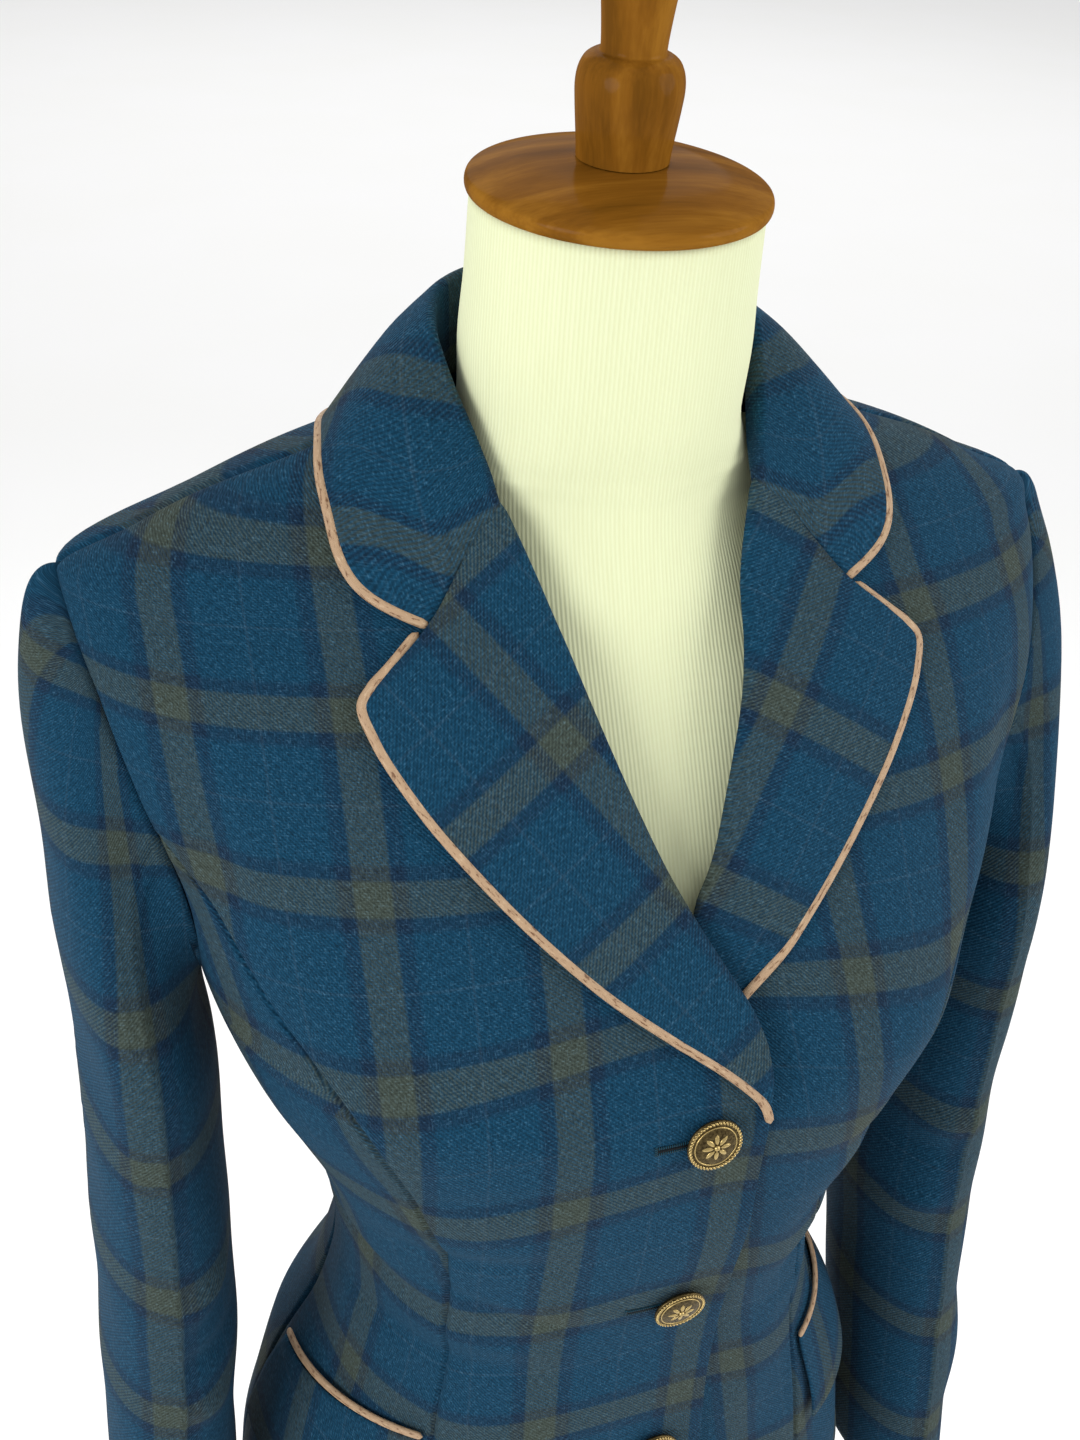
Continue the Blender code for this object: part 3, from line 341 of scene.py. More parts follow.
# Soft creases of the body: from and to places, as an arc from the centre front and a drop, with
# the depth, out of the cloth where it is positive, and the half width.
Crease = namedtuple("Crease", "from_arc from_drop to_arc to_drop depth width")
BODY_CREASES = {
    RIGHT: (
        Crease(0.186, 0.070, 0.172, 0.160, -0.0016, 0.0110),
        Crease(0.160, 0.085, 0.150, 0.150, 0.0008, 0.0120),
        Crease(0.028, 0.246, 0.125, 0.268, -0.0010, 0.0070),
        Crease(0.035, 0.229, 0.108, 0.216, 0.0007, 0.0080),
        Crease(0.030, 0.290, 0.150, 0.322, -0.0013, 0.0080),
        Crease(0.015, 0.352, 0.120, 0.336, -0.0012, 0.0065),
        Crease(0.020, 0.369, 0.165, 0.374, 0.0012, 0.0080),
        Crease(0.040, 0.386, 0.190, 0.402, -0.0014, 0.0075),
        Crease(0.095, 0.358, 0.215, 0.351, -0.0013, 0.0070),
        Crease(0.060, 0.424, 0.150, 0.430, 0.0008, 0.0090),
        Crease(0.030, 0.470, 0.090, 0.560, -0.0010, 0.0140),
        Crease(0.190, 0.560, 0.205, 0.655, 0.0012, 0.0150),
        Crease(0.230, 0.392, 0.345, 0.378, -0.0014, 0.0080),
        Crease(0.240, 0.362, 0.330, 0.352, 0.0010, 0.0090),
        Crease(0.255, 0.418, 0.350, 0.421, -0.0010, 0.0070),
        Crease(0.320, 0.120, 0.330, 0.230, -0.0012, 0.0150),
    ),
    LEFT: (
        Crease(0.184, 0.075, 0.170, 0.155, -0.0014, 0.0120),
        Crease(0.152, 0.095, 0.146, 0.165, 0.0007, 0.0120),
        Crease(0.045, 0.262, 0.140, 0.290, -0.0011, 0.0075),
        Crease(0.052, 0.318, 0.150, 0.332, -0.0012, 0.0070),
        Crease(0.045, 0.345, 0.160, 0.351, 0.0011, 0.0075),
        Crease(0.055, 0.366, 0.185, 0.372, -0.0015, 0.0065),
        Crease(0.060, 0.393, 0.140, 0.404, 0.0009, 0.0080),
        Crease(0.110, 0.412, 0.205, 0.409, -0.0010, 0.0080),
        Crease(0.050, 0.440, 0.095, 0.540, -0.0011, 0.0130),
        Crease(0.185, 0.575, 0.195, 0.658, 0.0011, 0.0140),
        Crease(0.228, 0.372, 0.340, 0.388, -0.0014, 0.0075),
        Crease(0.236, 0.405, 0.318, 0.412, 0.0009, 0.0085),
        Crease(0.262, 0.345, 0.346, 0.360, -0.0011, 0.0080),
        Crease(0.318, 0.130, 0.326, 0.215, -0.0010, 0.0160),
    ),
}
# Creases of a sleeve: the same, with the turn round the sleeve in degrees, 0 outside and 90 in front.
SleeveCrease = namedtuple("SleeveCrease", "from_turn from_drop to_turn to_drop depth width")
SLEEVE_CREASES = {
    RIGHT: (
        SleeveCrease(62, 0.160, 70, 0.310, -0.0010, 0.0110),
        SleeveCrease(25, 0.170, 32, 0.300, 0.0006, 0.0130),
        SleeveCrease(75, 0.375, 150, 0.352, -0.0026, 0.0085),
        SleeveCrease(62, 0.398, 165, 0.410, 0.0018, 0.0090),
        SleeveCrease(80, 0.428, 140, 0.446, -0.0022, 0.0080),
        SleeveCrease(20, 0.470, 70, 0.560, -0.0014, 0.0120),
        SleeveCrease(200, 0.330, 300, 0.370, -0.0016, 0.0100),
        SleeveCrease(230, 0.400, 330, 0.392, 0.0013, 0.0110),
        SleeveCrease(300, 0.160, 322, 0.310, -0.0010, 0.0130),
        SleeveCrease(240, 0.520, 310, 0.600, -0.0012, 0.0130),
    ),
    LEFT: (
        SleeveCrease(60, 0.155, 66, 0.300, -0.0009, 0.0120),
        SleeveCrease(22, 0.180, 26, 0.320, 0.0006, 0.0120),
        SleeveCrease(68, 0.352, 145, 0.368, -0.0024, 0.0090),
        SleeveCrease(70, 0.384, 160, 0.388, 0.0016, 0.0085),
        SleeveCrease(85, 0.410, 150, 0.432, -0.0021, 0.0080),
        SleeveCrease(28, 0.500, 60, 0.590, -0.0013, 0.0130),
        SleeveCrease(205, 0.352, 310, 0.340, -0.0015, 0.0100),
        SleeveCrease(225, 0.418, 320, 0.432, 0.0012, 0.0110),
        SleeveCrease(298, 0.150, 318, 0.290, -0.0009, 0.0120),
    ),
}
CREASE_SCALE = 1.7
CREASE_FADE = 1.5
SLEEVE_CREASE_START = 0.05
RIM_ROUND = 0.7
WAVE_HEIGHT = 0.00045
WAVE_LENGTHS = (0.083, 0.127)
SEAM_DEPTH = 0.0019
SEAM_HALF_WIDTH = 0.0014
# Columns close beside a seam: how far in, and at most which share of the width.
SEAM_COLUMNS = ((0.0, 0.0004, 0.0009, 0.0016, 0.0026, 0.0040), (0.0, 0.012, 0.024, 0.036, 0.048, 0.060))

# How closely the cloth's points are spaced.
SHOULDER_STEP = 0.0015
CHEST_STEP = 0.0022
SEAM_STEP = 0.0013
SKIRT_STEP = 0.0032
FRONT_COLUMNS, SIDE_FRONT_COLUMNS, BACK_COLUMNS = 66, 34, 62
LAPEL_LINES, LAPEL_COLUMNS = 84, 46
COLLAR_LINES, COLLAR_COLUMNS = 72, 44
SLEEVE_COLUMNS, SLEEVE_HEAD_LINES, SLEEVE_LINES = 96, 44, 104
FLAP_COLUMNS, FLAP_LINES = 44, 22
PIPING_POINTS = 10
BODY_STRETCHES = (
    (NECK_POINT_DROP, SHOULDER_TIP_DROP, SHOULDER_STEP),
    (SHOULDER_TIP_DROP, PRINCESS_TOP_DROP, CHEST_STEP),
    (PRINCESS_TOP_DROP, ARMHOLE_BOTTOM_DROP, SEAM_STEP),
    (ARMHOLE_BOTTOM_DROP, WAIST_DROP, CHEST_STEP),
    (WAIST_DROP, HEM_DROP, SKIRT_STEP),
)
FORM_STRETCHES = ((-0.0885, 0.0, 0.004), (0.0, 0.06, 0.002), (0.06, 0.66, 0.006), (0.66, 0.69, 0.0015))
FORM_TURNS = 144
FINE_TURNS = 361
LEAST_POINTS = 8
TINY = 1e-9

# The stage. A lamp takes its power from a light of the stage's settings, times its share.
FLOOR_SIZE = 80.0
LIGHT_AIM = (0.0, 0.0, 1.2)
PICTURE_SIDE_MM = 36.0
WHITE = (1.0, 1.0, 1.0, 1.0)
Lamp = namedtuple("Lamp", "name place size light share")
LAMPS = (
    Lamp("key", (-2.1, -1.2, 1.8), 1.4, "key", 1.0),
    Lamp("fill", (2.0, -1.0, 1.9), 1.8, "fill", 1.0),
    Lamp("back", (0.4, 1.9, 2.4), 1.8, "fill", 0.4),
    Lamp("floor_wash", (2.5, 6.5, 4.0), 9.0, "wash", 1.0),
)


def hex_colour(text):
    """A linear colour with alpha from six sRGB hex digits."""
    parts = [int(text[k:k + 2], 16) / 255 for k in (0, 2, 4)]
    linear = [c / 12.92 if c <= 0.04045 else ((c + 0.055) / 1.055) ** 2.4 for c in parts]
    return (*linear, 1.0)


def monotone_curve(knots, values):
    """A cubic through the knots that never swings past them, as a function of the knot value."""
    knots = np.asarray(knots, float)
    values = np.asarray(values, float)
    step = np.diff(knots)
    slope = np.diff(values) / step
    tangent = np.empty_like(values)
    tangent[0], tangent[-1] = slope[0], slope[-1]
    for i in range(1, len(values) - 1):
        before, after = slope[i - 1], slope[i]
        tangent[i] = 0.0 if before * after <= 0 else 2 * before * after / (before + after)

    def at(where):
        where = np.clip(np.asarray(where, float), knots[0], knots[-1])
        i = np.clip(np.searchsorted(knots, where, side="right") - 1, 0, len(step) - 1)
        s = (where - knots[i]) / step[i]
        rise = values[i] * (1 + 2 * s) * (1 - s) ** 2 + values[i + 1] * s**2 * (3 - 2 * s)
        return rise + step[i] * s * (1 - s) * (tangent[i] * (1 - s) - tangent[i + 1] * s)

    return at


def columns_of(rows):
    """One smooth curve for each column of a table, along its first column."""
    table = np.array(rows, float)
    return [monotone_curve(table[:, 0], table[:, k]) for k in range(1, table.shape[1])]


def smooth_step(low, high, value):
    """A soft rise from 0 at the low value to 1 at the high one."""
    s = np.clip((np.asarray(value, float) - low) / (high - low), 0.0, 1.0)
    return s * s * (3 - 2 * s)


def unit(vectors):
    """Vectors brought to length one."""
    return vectors / np.linalg.norm(vectors, axis=-1, keepdims=True)


COAT_COLUMNS = columns_of(COAT_SECTIONS)
FORM_COLUMNS = columns_of(FORM_SECTIONS)
ARMHOLE_FRONT, ARMHOLE_BACK = columns_of(ARMHOLE)
(PRINCESS_ACROSS,) = columns_of(PRINCESS_SEAM)
(ROLL_ACROSS,) = columns_of(ROLL_LINE)
(SET_BACK,) = columns_of(LEFT_SET_BACK)
STRIPE_COUNT = monotone_curve(STRIPE_DROPS, np.arange(len(STRIPE_DROPS)))


def section_point(columns, turn, drop):
    """A point of the level section at this drop."""
    half_width, side_y, front, back, power, *shares = [column(drop) for column in columns]
    sine = np.sin(np.radians(turn))
    reach = np.clip(1 - np.abs(sine) ** power, 0, 1) ** (1 / power)
    for share in shares:
        neck = np.clip(1 - (half_width * sine / FORM_NECK_HALF_WIDTH) ** 2, 0, 1) ** 2
        reach = reach * (1 - share) + neck * share
    ahead = np.cos(np.radians(turn)) > 0
    y = np.where(ahead, side_y - (front + side_y) * reach, side_y + (back - side_y) * reach)
    return np.stack([half_width * sine, y, LEVEL_LINE_HEIGHT - drop + 0 * y], -1)


def coat_frame(turn, drop):
    """Points on the left half of the coat's outer face, and the way out of the cloth there."""
    turn, drop = np.broadcast_arrays(np.asarray(turn, float), np.asarray(drop, float))
    near_turn, near_drop = 0.5, 0.0008
    along = section_point(COAT_COLUMNS, turn + near_turn, drop)
    along = along - section_point(COAT_COLUMNS, turn - near_turn, drop)
    high = np.clip(drop - near_drop, NECK_POINT_DROP, None)
    down = section_point(COAT_COLUMNS, turn, drop + near_drop) - section_point(COAT_COLUMNS, turn, high)
    return section_point(COAT_COLUMNS, turn, drop), unit(np.cross(down, along))


def turn_at(across, drop):
    """The turn of a point this far out from the centre front."""
    return np.degrees(np.arcsin(np.clip(across / COAT_COLUMNS[0](drop), -1, 1)))


def arc_at(columns, turn, drop):
    """How far round its level section each point is from the centre front, row by row."""
    fine = np.linspace(0, CENTRE_BACK_TURN, FINE_TURNS)
    arcs = np.empty_like(turn)
    for i, level in enumerate(drop[:, 0]):
        run = run_length(section_point(columns, fine, np.full_like(fine, level)), 0)
        arcs[i] = np.sign(turn[i]) * np.interp(np.abs(turn[i]), fine, run)
    return arcs


def on_side(points, side):
    """Points of the wearer's left, mirrored where the side is the right."""
    return points * np.array([side, 1.0, 1.0])


def grid_normals(grid, ring=False):
    """The way out of a sheet of points, from its rows and columns."""
    down = np.gradient(grid, axis=0)
    if ring:
        along = np.roll(grid, -1, axis=1) - np.roll(grid, 1, axis=1)
    else:
        along = np.gradient(grid, axis=1)
    return unit(np.cross(down, along))


def run_length(points, axis):
    """The length travelled along an axis of a grid of points, from its first row or column."""
    steps = np.linalg.norm(np.diff(points, axis=axis), axis=-1)
    start = np.zeros_like(steps.take([0], axis=axis))
    return np.concatenate([start, np.cumsum(steps, axis=axis)], axis=axis)


def smooth_lines(sheet, count):
    """Each row of a sheet drawn again through its points as one smooth line."""
    before, after = np.roll(sheet, 1, axis=1), np.roll(sheet, -1, axis=1)
    tangent = (after - before) / 2
    tangent[:, 0], tangent[:, -1] = sheet[:, 1] - sheet[:, 0], sheet[:, -1] - sheet[:, -2]
    spans = np.linalg.norm(np.diff(sheet, axis=1), axis=-1).mean(0)
    knots = np.concatenate([[0], np.cumsum(np.sqrt(spans))])
    where = np.linspace(0, knots[-1], count)
    i = np.clip(np.searchsorted(knots, where, side="right") - 1, 0, len(spans) - 1)
    s = ((where - knots[i]) / (knots[i + 1] - knots[i]))[None, :, None]
    first, last = sheet[:, i], sheet[:, i + 1]
    limit = np.linalg.norm(last - first, axis=-1, keepdims=True)

    def short(vector):
        size = np.linalg.norm(vector, axis=-1, keepdims=True)
        return vector * np.minimum(1, limit / np.maximum(size, TINY))

    line = first * (1 + 2 * s) * (1 - s) ** 2 + last * s**2 * (3 - 2 * s)
    return line + s * (1 - s) * (short(tangent[:, i]) * (1 - s) - short(tangent[:, i + 1]) * s)


def seam_hollow(off):
    """How deep the cloth sinks at this distance from a seam."""
    return SEAM_DEPTH * np.exp(-((off / SEAM_HALF_WIDTH) ** 2))


def crease_height(across, drop, creases):
    """How far soft creases and a slight unevenness move the cloth out."""
    first, second = WAVE_LENGTHS
    height = np.sin(2 * math.pi * (across / first + drop / second))
    height = WAVE_HEIGHT * (height + np.sin(2 * math.pi * (across / second - drop / first)))
    for crease in creases:
        start_across, start_drop, end_across, end_drop, depth, width = crease
        run = np.array([end_across - start_across, end_drop - start_drop])
        length = np.linalg.norm(run)
        s = ((across - start_across) * run[0] + (drop - start_drop) * run[1]) / length**2
        off = ((across - start_across) * run[1] - (drop - start_drop) * run[0]) / length
        fade = np.clip(1 - (2 * s - 1) ** 2, 0, 1) ** CREASE_FADE
        height = height + CREASE_SCALE * depth * np.exp(-((off / width) ** 2)) * fade
    return height


def shell(name, outer, inner, grain, side):
    """A closed thin shell of cloth between two sheets of points, with round edges and a grain map."""
    outer, inner = on_side(outer, side), on_side(inner, side)
    rows, columns = outer.shape[:2]
    count = rows * columns
    index = np.arange(count).reshape(rows, columns)
    quads = np.stack([index[:-1, :-1], index[1:, :-1], index[1:, 1:], index[:-1, 1:]], -1).reshape(-1, 4)
    border = np.concatenate([index[0, :-1], index[:-1, -1], index[-1, :0:-1], index[:0:-1, 0]])
    i, j = np.divmod(border, columns)
    inward = outer[np.clip(i, 1, rows - 2), np.clip(j, 1, columns - 2)]
    away = unit(outer[i, j] - inward)
    half = np.linalg.norm(outer[i, j] - inner[i, j], axis=-1, keepdims=True) / 2
    rim = (outer[i, j] + inner[i, j]) / 2 + away * half * RIM_ROUND
    middle = 2 * count + np.arange(len(border))
    after, middle_after = np.roll(border, -1), np.roll(middle, -1)
    faces = np.concatenate([
        quads, quads[:, ::-1] + count,
        np.stack([border, after, middle_after, middle], -1),
        np.stack([middle, middle_after, after + count, border + count], -1),
    ])
    if side == RIGHT:
        faces = faces[:, ::-1]
    points = np.concatenate([outer.reshape(-1, 3), inner.reshape(-1, 3), rim])
    flat = grain.reshape(-1, 2)
    return grained_mesh(name, points, faces, np.concatenate([flat, flat, grain[i, j]]))


def grained_mesh(name, points, faces, grain):
    """A smooth mesh whose UV map holds a place on the cloth, in metres, for each point."""
    mesh = bpy.data.meshes.new(name)
    mesh.from_pydata(points.tolist(), [], [list(face) for face in faces])
    corners = np.empty(len(mesh.loops), int)
    mesh.loops.foreach_get("vertex_index", corners)
    layer = mesh.uv_layers.new(name="grain")
    layer.data.foreach_set("uv", np.asarray(grain, np.float32)[corners].ravel())
    mesh.shade_smooth()
    mesh.update()
    return mesh


def add_piece(mesh, material, slot, *nodes):
    """Puts a finished mesh in the scene in place of its solids."""
    mesh.materials.clear()
    mesh.materials.append(material)
    piece = bpy.data.objects.new(mesh.name, mesh)
    bpy.context.scene.collection.objects.link(piece)
    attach(piece, BODY)
    if nodes:
        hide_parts(*nodes)
    return piece


def declare_cut(sheet):
    """Works out a cloth piece's widest row and longest column, and uses neither."""
    width = run_length(sheet, 1)[:, -1].max()
    length = run_length(sheet, 0)[-1].max()


def set_inputs(node, inputs):
    """Links or sets a node's inputs."""
    for key, value in inputs.items():
        if isinstance(value, bpy.types.NodeSocket):
            node.id_data.links.new(value, node.inputs[key])
        else:
            node.inputs[key].default_value = value


def add_node(tree, kind, inputs, **settings):
    """Adds a shader node with its settings and links."""
    node = tree.nodes.new("ShaderNode" + kind)
    for key, value in settings.items():
        setattr(node, key, value)
    set_inputs(node, inputs)
    return node


def new_material(name, **sockets):
    """A material with its constant values on the shader's own sockets."""
    material = bpy.data.materials.new(name + LOOK)
    material.use_nodes = True
    tree = material.node_tree
    shader = tree.nodes["Principled BSDF"]
    set_inputs(shader, {key.replace("_", " "): value for key, value in sockets.items()})
    return material, tree, shader


def made_once(make, settings):
    """The material that a function makes, which bears the function's name and is made only once."""
    return bpy.data.materials.get(make.__name__ + LOOK) or make(settings)


def set_stops(ramp, stops):
    """Colour stops of a ramp, each a place from 0 to 1 and a colour."""
    elements = ramp.color_ramp.elements
    while len(elements) > 1:
        elements.remove(elements[-1])
    for k, (place, colour) in enumerate(stops):
        stop = elements[0] if k == 0 else elements.new(place)
        stop.position = place
        stop.color = colour


def stripe_stops(cloth, repeat):
    """One repeat of the check's yarns: a broad stripe with dark edges, and a fine line half way between."""
    broad, dark, line, soft, fade = 0.0070, 0.0048, 0.0002, 0.0006, 0.0024
    half = repeat / 2
    ground, fine, edge, stripe = (tuple(c) for c in (cloth.base, cloth.fine, cloth.edge, cloth.stripe))
    places = [
        (0.0, fine), (line, fine), (line + soft, ground), (half - broad - dark - fade, ground),
        (half - broad - dark, edge), (half - broad - soft, edge), (half - broad + soft, stripe),
    ]
    stops = [(place / repeat, colour) for place, colour in places]
    return stops + [(1 - place, colour) for place, colour in reversed(stops)]


def plaid_wool(cloth):
    """Worsted wool twill, woven in a windowpane check and pressed: matte, with a faint fuzz.

    The warp and weft keep their own stripes, and the twill shows one or the other, so a stripe is
    half strength and full where two cross. The twill is drawn coarser than real, so that it shows,
    and its grooves carry painted shade and its ridges painted light.
    """
    thread_width, slubs_per_metre = 0.000625, 380.0
    yarn_range, yarn_light = (0.25, 0.75), (0.30, 1.56)
    fleck_range, fleck_most = (0.58, 0.74), 0.36
    weft_least, weft_most = 0.30, 0.70
    # Shares of the colour for the painted shade in the twill's grooves and the painted light on its ridges.
    twill_groove_painted_shade, twill_ridge_painted_light = 0.80, 1.20
    material, tree, shader = new_material(
        "plaid_wool", Roughness=0.85, Sheen_Weight=0.02, Sheen_Roughness=0.5, Specular_IOR_Level=0.08)
    place = add_node(tree, "UVMap", {}, uv_map="grain").outputs["UV"]
    split = add_node(tree, "SeparateXYZ", {"Vector": place}).outputs
    diagonal = add_node(tree, "Math", {0: split["X"], 1: split["Y"]}, operation="SUBTRACT").outputs[0]
    turns = 2 * math.pi / cloth.twill
    twill = add_node(tree, "Math", {0: diagonal, 1: turns}, operation="MULTIPLY").outputs[0]
    wave = add_node(tree, "Math", {0: twill}, operation="SINE").outputs[0]
    weave = add_node(tree, "MapRange", {
        "Value": wave, "From Min": -1.0, "To Min": weft_least, "To Max": weft_most}).outputs["Result"]
    threads_per_metre = 1 / thread_width
    yarns = (
        (split["X"], cloth.repeat_across, (threads_per_metre, slubs_per_metre, 1.0)),
        (split["Y"], cloth.repeat_down, (slubs_per_metre, threads_per_metre, 1.0)),
    )
    colours = []
    for run, repeat, slub in yarns:
        share = add_node(tree, "Math", {0: run, 1: repeat}, operation="DIVIDE").outputs[0]
        share = add_node(tree, "Math", {0: share}, operation="FRACT").outputs[0]
        ramp = add_node(tree, "ValToRGB", {"Fac": share})
        set_stops(ramp, stripe_stops(cloth, repeat))
        stretched = add_node(tree, "Mapping", {"Vector": place, "Scale": slub}).outputs[0]
        yarn = add_node(tree, "TexNoise", {"Vector": stretched, "Scale": 1.0, "Detail": 2.0}).outputs["Fac"]
        light = add_node(tree, "MapRange", {
            "Value": yarn, "From Min": yarn_range[0], "From Max": yarn_range[1],
            "To Min": yarn_light[0], "To Max": yarn_light[1]}).outputs["Result"]
        shaded = add_node(tree, "VectorMath", {0: ramp.outputs["Color"], "Scale": light}, operation="SCALE")
        fleck = add_node(tree, "MapRange", {
            "Value": yarn, "From Min": fleck_range[0], "From Max": fleck_range[1],
            "To Max": fleck_most}).outputs["Result"]
        flecked = add_node(
            tree, "Mix", {"Factor": fleck, "A": shaded.outputs[0], "B": cloth.fleck}, data_type="RGBA")
        colours.append(flecked.outputs["Result"])
    woven = add_node(tree, "Mix", {"Factor": weave, "A": colours[0], "B": colours[1]}, data_type="RGBA")
    # Painted shade and painted light: the colour darkens in the twill's grooves and brightens on its ridges,
    # with the same wave that drives the bump.
    depth = add_node(tree, "MapRange", {
        "Value": wave, "From Min": -1.0, "To Min": twill_groove_painted_shade, "To Max": twill_ridge_painted_light}).outputs["Result"]
    ribbed = add_node(tree, "VectorMath", {0: woven.outputs["Result"], "Scale": depth}, operation="SCALE")
    bump = add_node(tree, "Bump", {"Height": wave, "Strength": 0.5, "Distance": 0.0002})
    set_inputs(shader, {"Base Color": ribbed.outputs[0], "Normal": bump.outputs["Normal"]})
    return material


def cork_piping(trim):
    """Tan cork leather folded over a cord: matte, with brown flecks and pale scuffs along it."""
    flecks_along, flecks_across = 210.0, 700.0  # per metre, so a fleck is about 5 by 1.4 mm
    brown_to, tan_from, tan_to, pale_from = 0.36, 0.45, 0.56, 0.70
    material, tree, shader = new_material("cork_piping", Roughness=0.62, Specular_IOR_Level=0.35)
    place = add_node(tree, "UVMap", {}, uv_map="grain").outputs["UV"]
    along = add_node(
        tree, "Mapping", {"Vector": place, "Scale": (flecks_along, flecks_across, 1.0)}).outputs[0]
    flecks = add_node(
        tree, "TexNoise", {"Vector": along, "Scale": 1.0, "Detail": 4.0, "Roughness": 0.65}).outputs["Fac"]
    ramp = add_node(tree, "ValToRGB", {"Fac": flecks})
    set_stops(ramp, [
        (brown_to, trim.fleck), (tan_from, trim.piping), (tan_to, trim.piping), (pale_from, trim.scuff)])
    bump = add_node(tree, "Bump", {"Height": flecks, "Strength": 0.5, "Distance": 0.0004})
    set_inputs(shader, {"Base Color": ramp.outputs["Color"], "Normal": bump.outputs["Normal"]})
    return material


def antique_brass(trim):
    """Cast brass, darkened and rubbed back: brown in the hollows and bright on the raised work."""
    spots_per_metre, spot_share = 900.0, 0.6  # spots of about 1.1 mm
    hollow_rough, rubbed_rough = 0.5, 0.34
    material, tree, shader = new_material("antique_brass", Metallic=1.0)
    relief = add_node(tree, "Attribute", {}, attribute_name="relief").outputs["Fac"]
    spot = add_node(tree, "TexCoord", {}).outputs["Object"]
    tarnish = add_node(
        tree, "TexNoise", {"Vector": spot, "Scale": spots_per_metre, "Detail": 3.0}).outputs["Fac"]
    worn = add_node(tree, "Math", {0: tarnish, 1: 0.5}, operation="SUBTRACT").outputs[0]
    worn = add_node(tree, "Math", {0: worn, 1: spot_share, 2: relief}, operation="MULTIPLY_ADD").outputs[0]
    colour = add_node(
        tree, "Mix", {"Factor": worn, "A": trim.brass_dark, "B": trim.brass}, data_type="RGBA")
    rough = add_node(tree, "MapRange", {"Value": worn, "To Min": hollow_rough, "To Max": rubbed_rough})
    set_inputs(shader, {"Base Color": colour.outputs["Result"], "Roughness": rough.outputs["Result"]})
    return material


def buttonhole_thread(trim):
    """Dark silk twist, worked over the hole's edges: a slight gloss and a row of fine stitches, with painted
    shade between them.
    """
    dark_to, light_from = 0.2, 0.8
    material, tree, shader = new_material("buttonhole_thread", Roughness=0.6, Specular_IOR_Level=0.15)
    place = add_node(tree, "UVMap", {}, uv_map="grain").outputs["UV"]
    along = add_node(tree, "SeparateXYZ", {"Vector": place}).outputs["X"]
    turns = 2 * math.pi / trim.stitch
    stitches = add_node(tree, "Math", {0: along, 1: turns}, operation="MULTIPLY").outputs[0]
    wave = add_node(tree, "Math", {0: stitches}, operation="SINE").outputs[0]
    share = add_node(tree, "MapRange", {"Value": wave, "From Min": -1.0}).outputs["Result"]
    ramp = add_node(tree, "ValToRGB", {"Fac": share})
    # The stitches' wave runs down to the painted shade between them.
    set_stops(ramp, [(dark_to, trim.thread_dark), (light_from, trim.thread)])
    set_inputs(shader, {"Base Color": ramp.outputs["Color"]})
    return material


def cream_jersey(form):
    """Cotton rib jersey, stretched over the form: matte, with fine upright ribs and slubs, and painted shade
    between the ribs.
    """
    slubs_across, slubs_down = 300.0, 40.0  # per metre, so a slub is about 3 by 25 mm
    slub_least, slub_most, rib_share, light_from = 0.35, 0.65, 0.20, 0.75
    material, tree, shader = new_material(
        "cream_jersey", Roughness=0.9, Sheen_Weight=0.15, Specular_IOR_Level=0.2)
    place = add_node(tree, "UVMap", {}, uv_map="grain").outputs["UV"]
    across = add_node(tree, "SeparateXYZ", {"Vector": place}).outputs["X"]
    turns = 2 * math.pi / form.rib
    ribs = add_node(tree, "Math", {0: across, 1: turns}, operation="MULTIPLY").outputs[0]
    wave = add_node(tree, "Math", {0: ribs}, operation="SINE").outputs[0]
    stretched = add_node(
        tree, "Mapping", {"Vector": place, "Scale": (slubs_across, slubs_down, 1.0)}).outputs[0]
    slub = add_node(tree, "TexNoise", {"Vector": stretched, "Scale": 1.0, "Detail": 3.0}).outputs["Fac"]
    slub = add_node(
        tree, "MapRange", {"Value": slub, "To Min": slub_least, "To Max": slub_most}).outputs["Result"]
    # The ribs' wave darkens the colour between them, which is painted shade; the slubs vary the tone at
    # random.
    mixed = add_node(tree, "Math", {0: wave, 1: rib_share, 2: slub}, operation="MULTIPLY_ADD").outputs[0]
    ramp = add_node(tree, "ValToRGB", {"Fac": mixed})
    set_stops(ramp, [(0.0, form.jersey_shade), (light_from, form.jersey)])
    bump = add_node(tree, "Bump", {"Height": wave, "Strength": 0.25, "Distance": 0.0003})
    set_inputs(shader, {"Base Color": ramp.outputs["Color"], "Normal": bump.outputs["Normal"]})
    return material


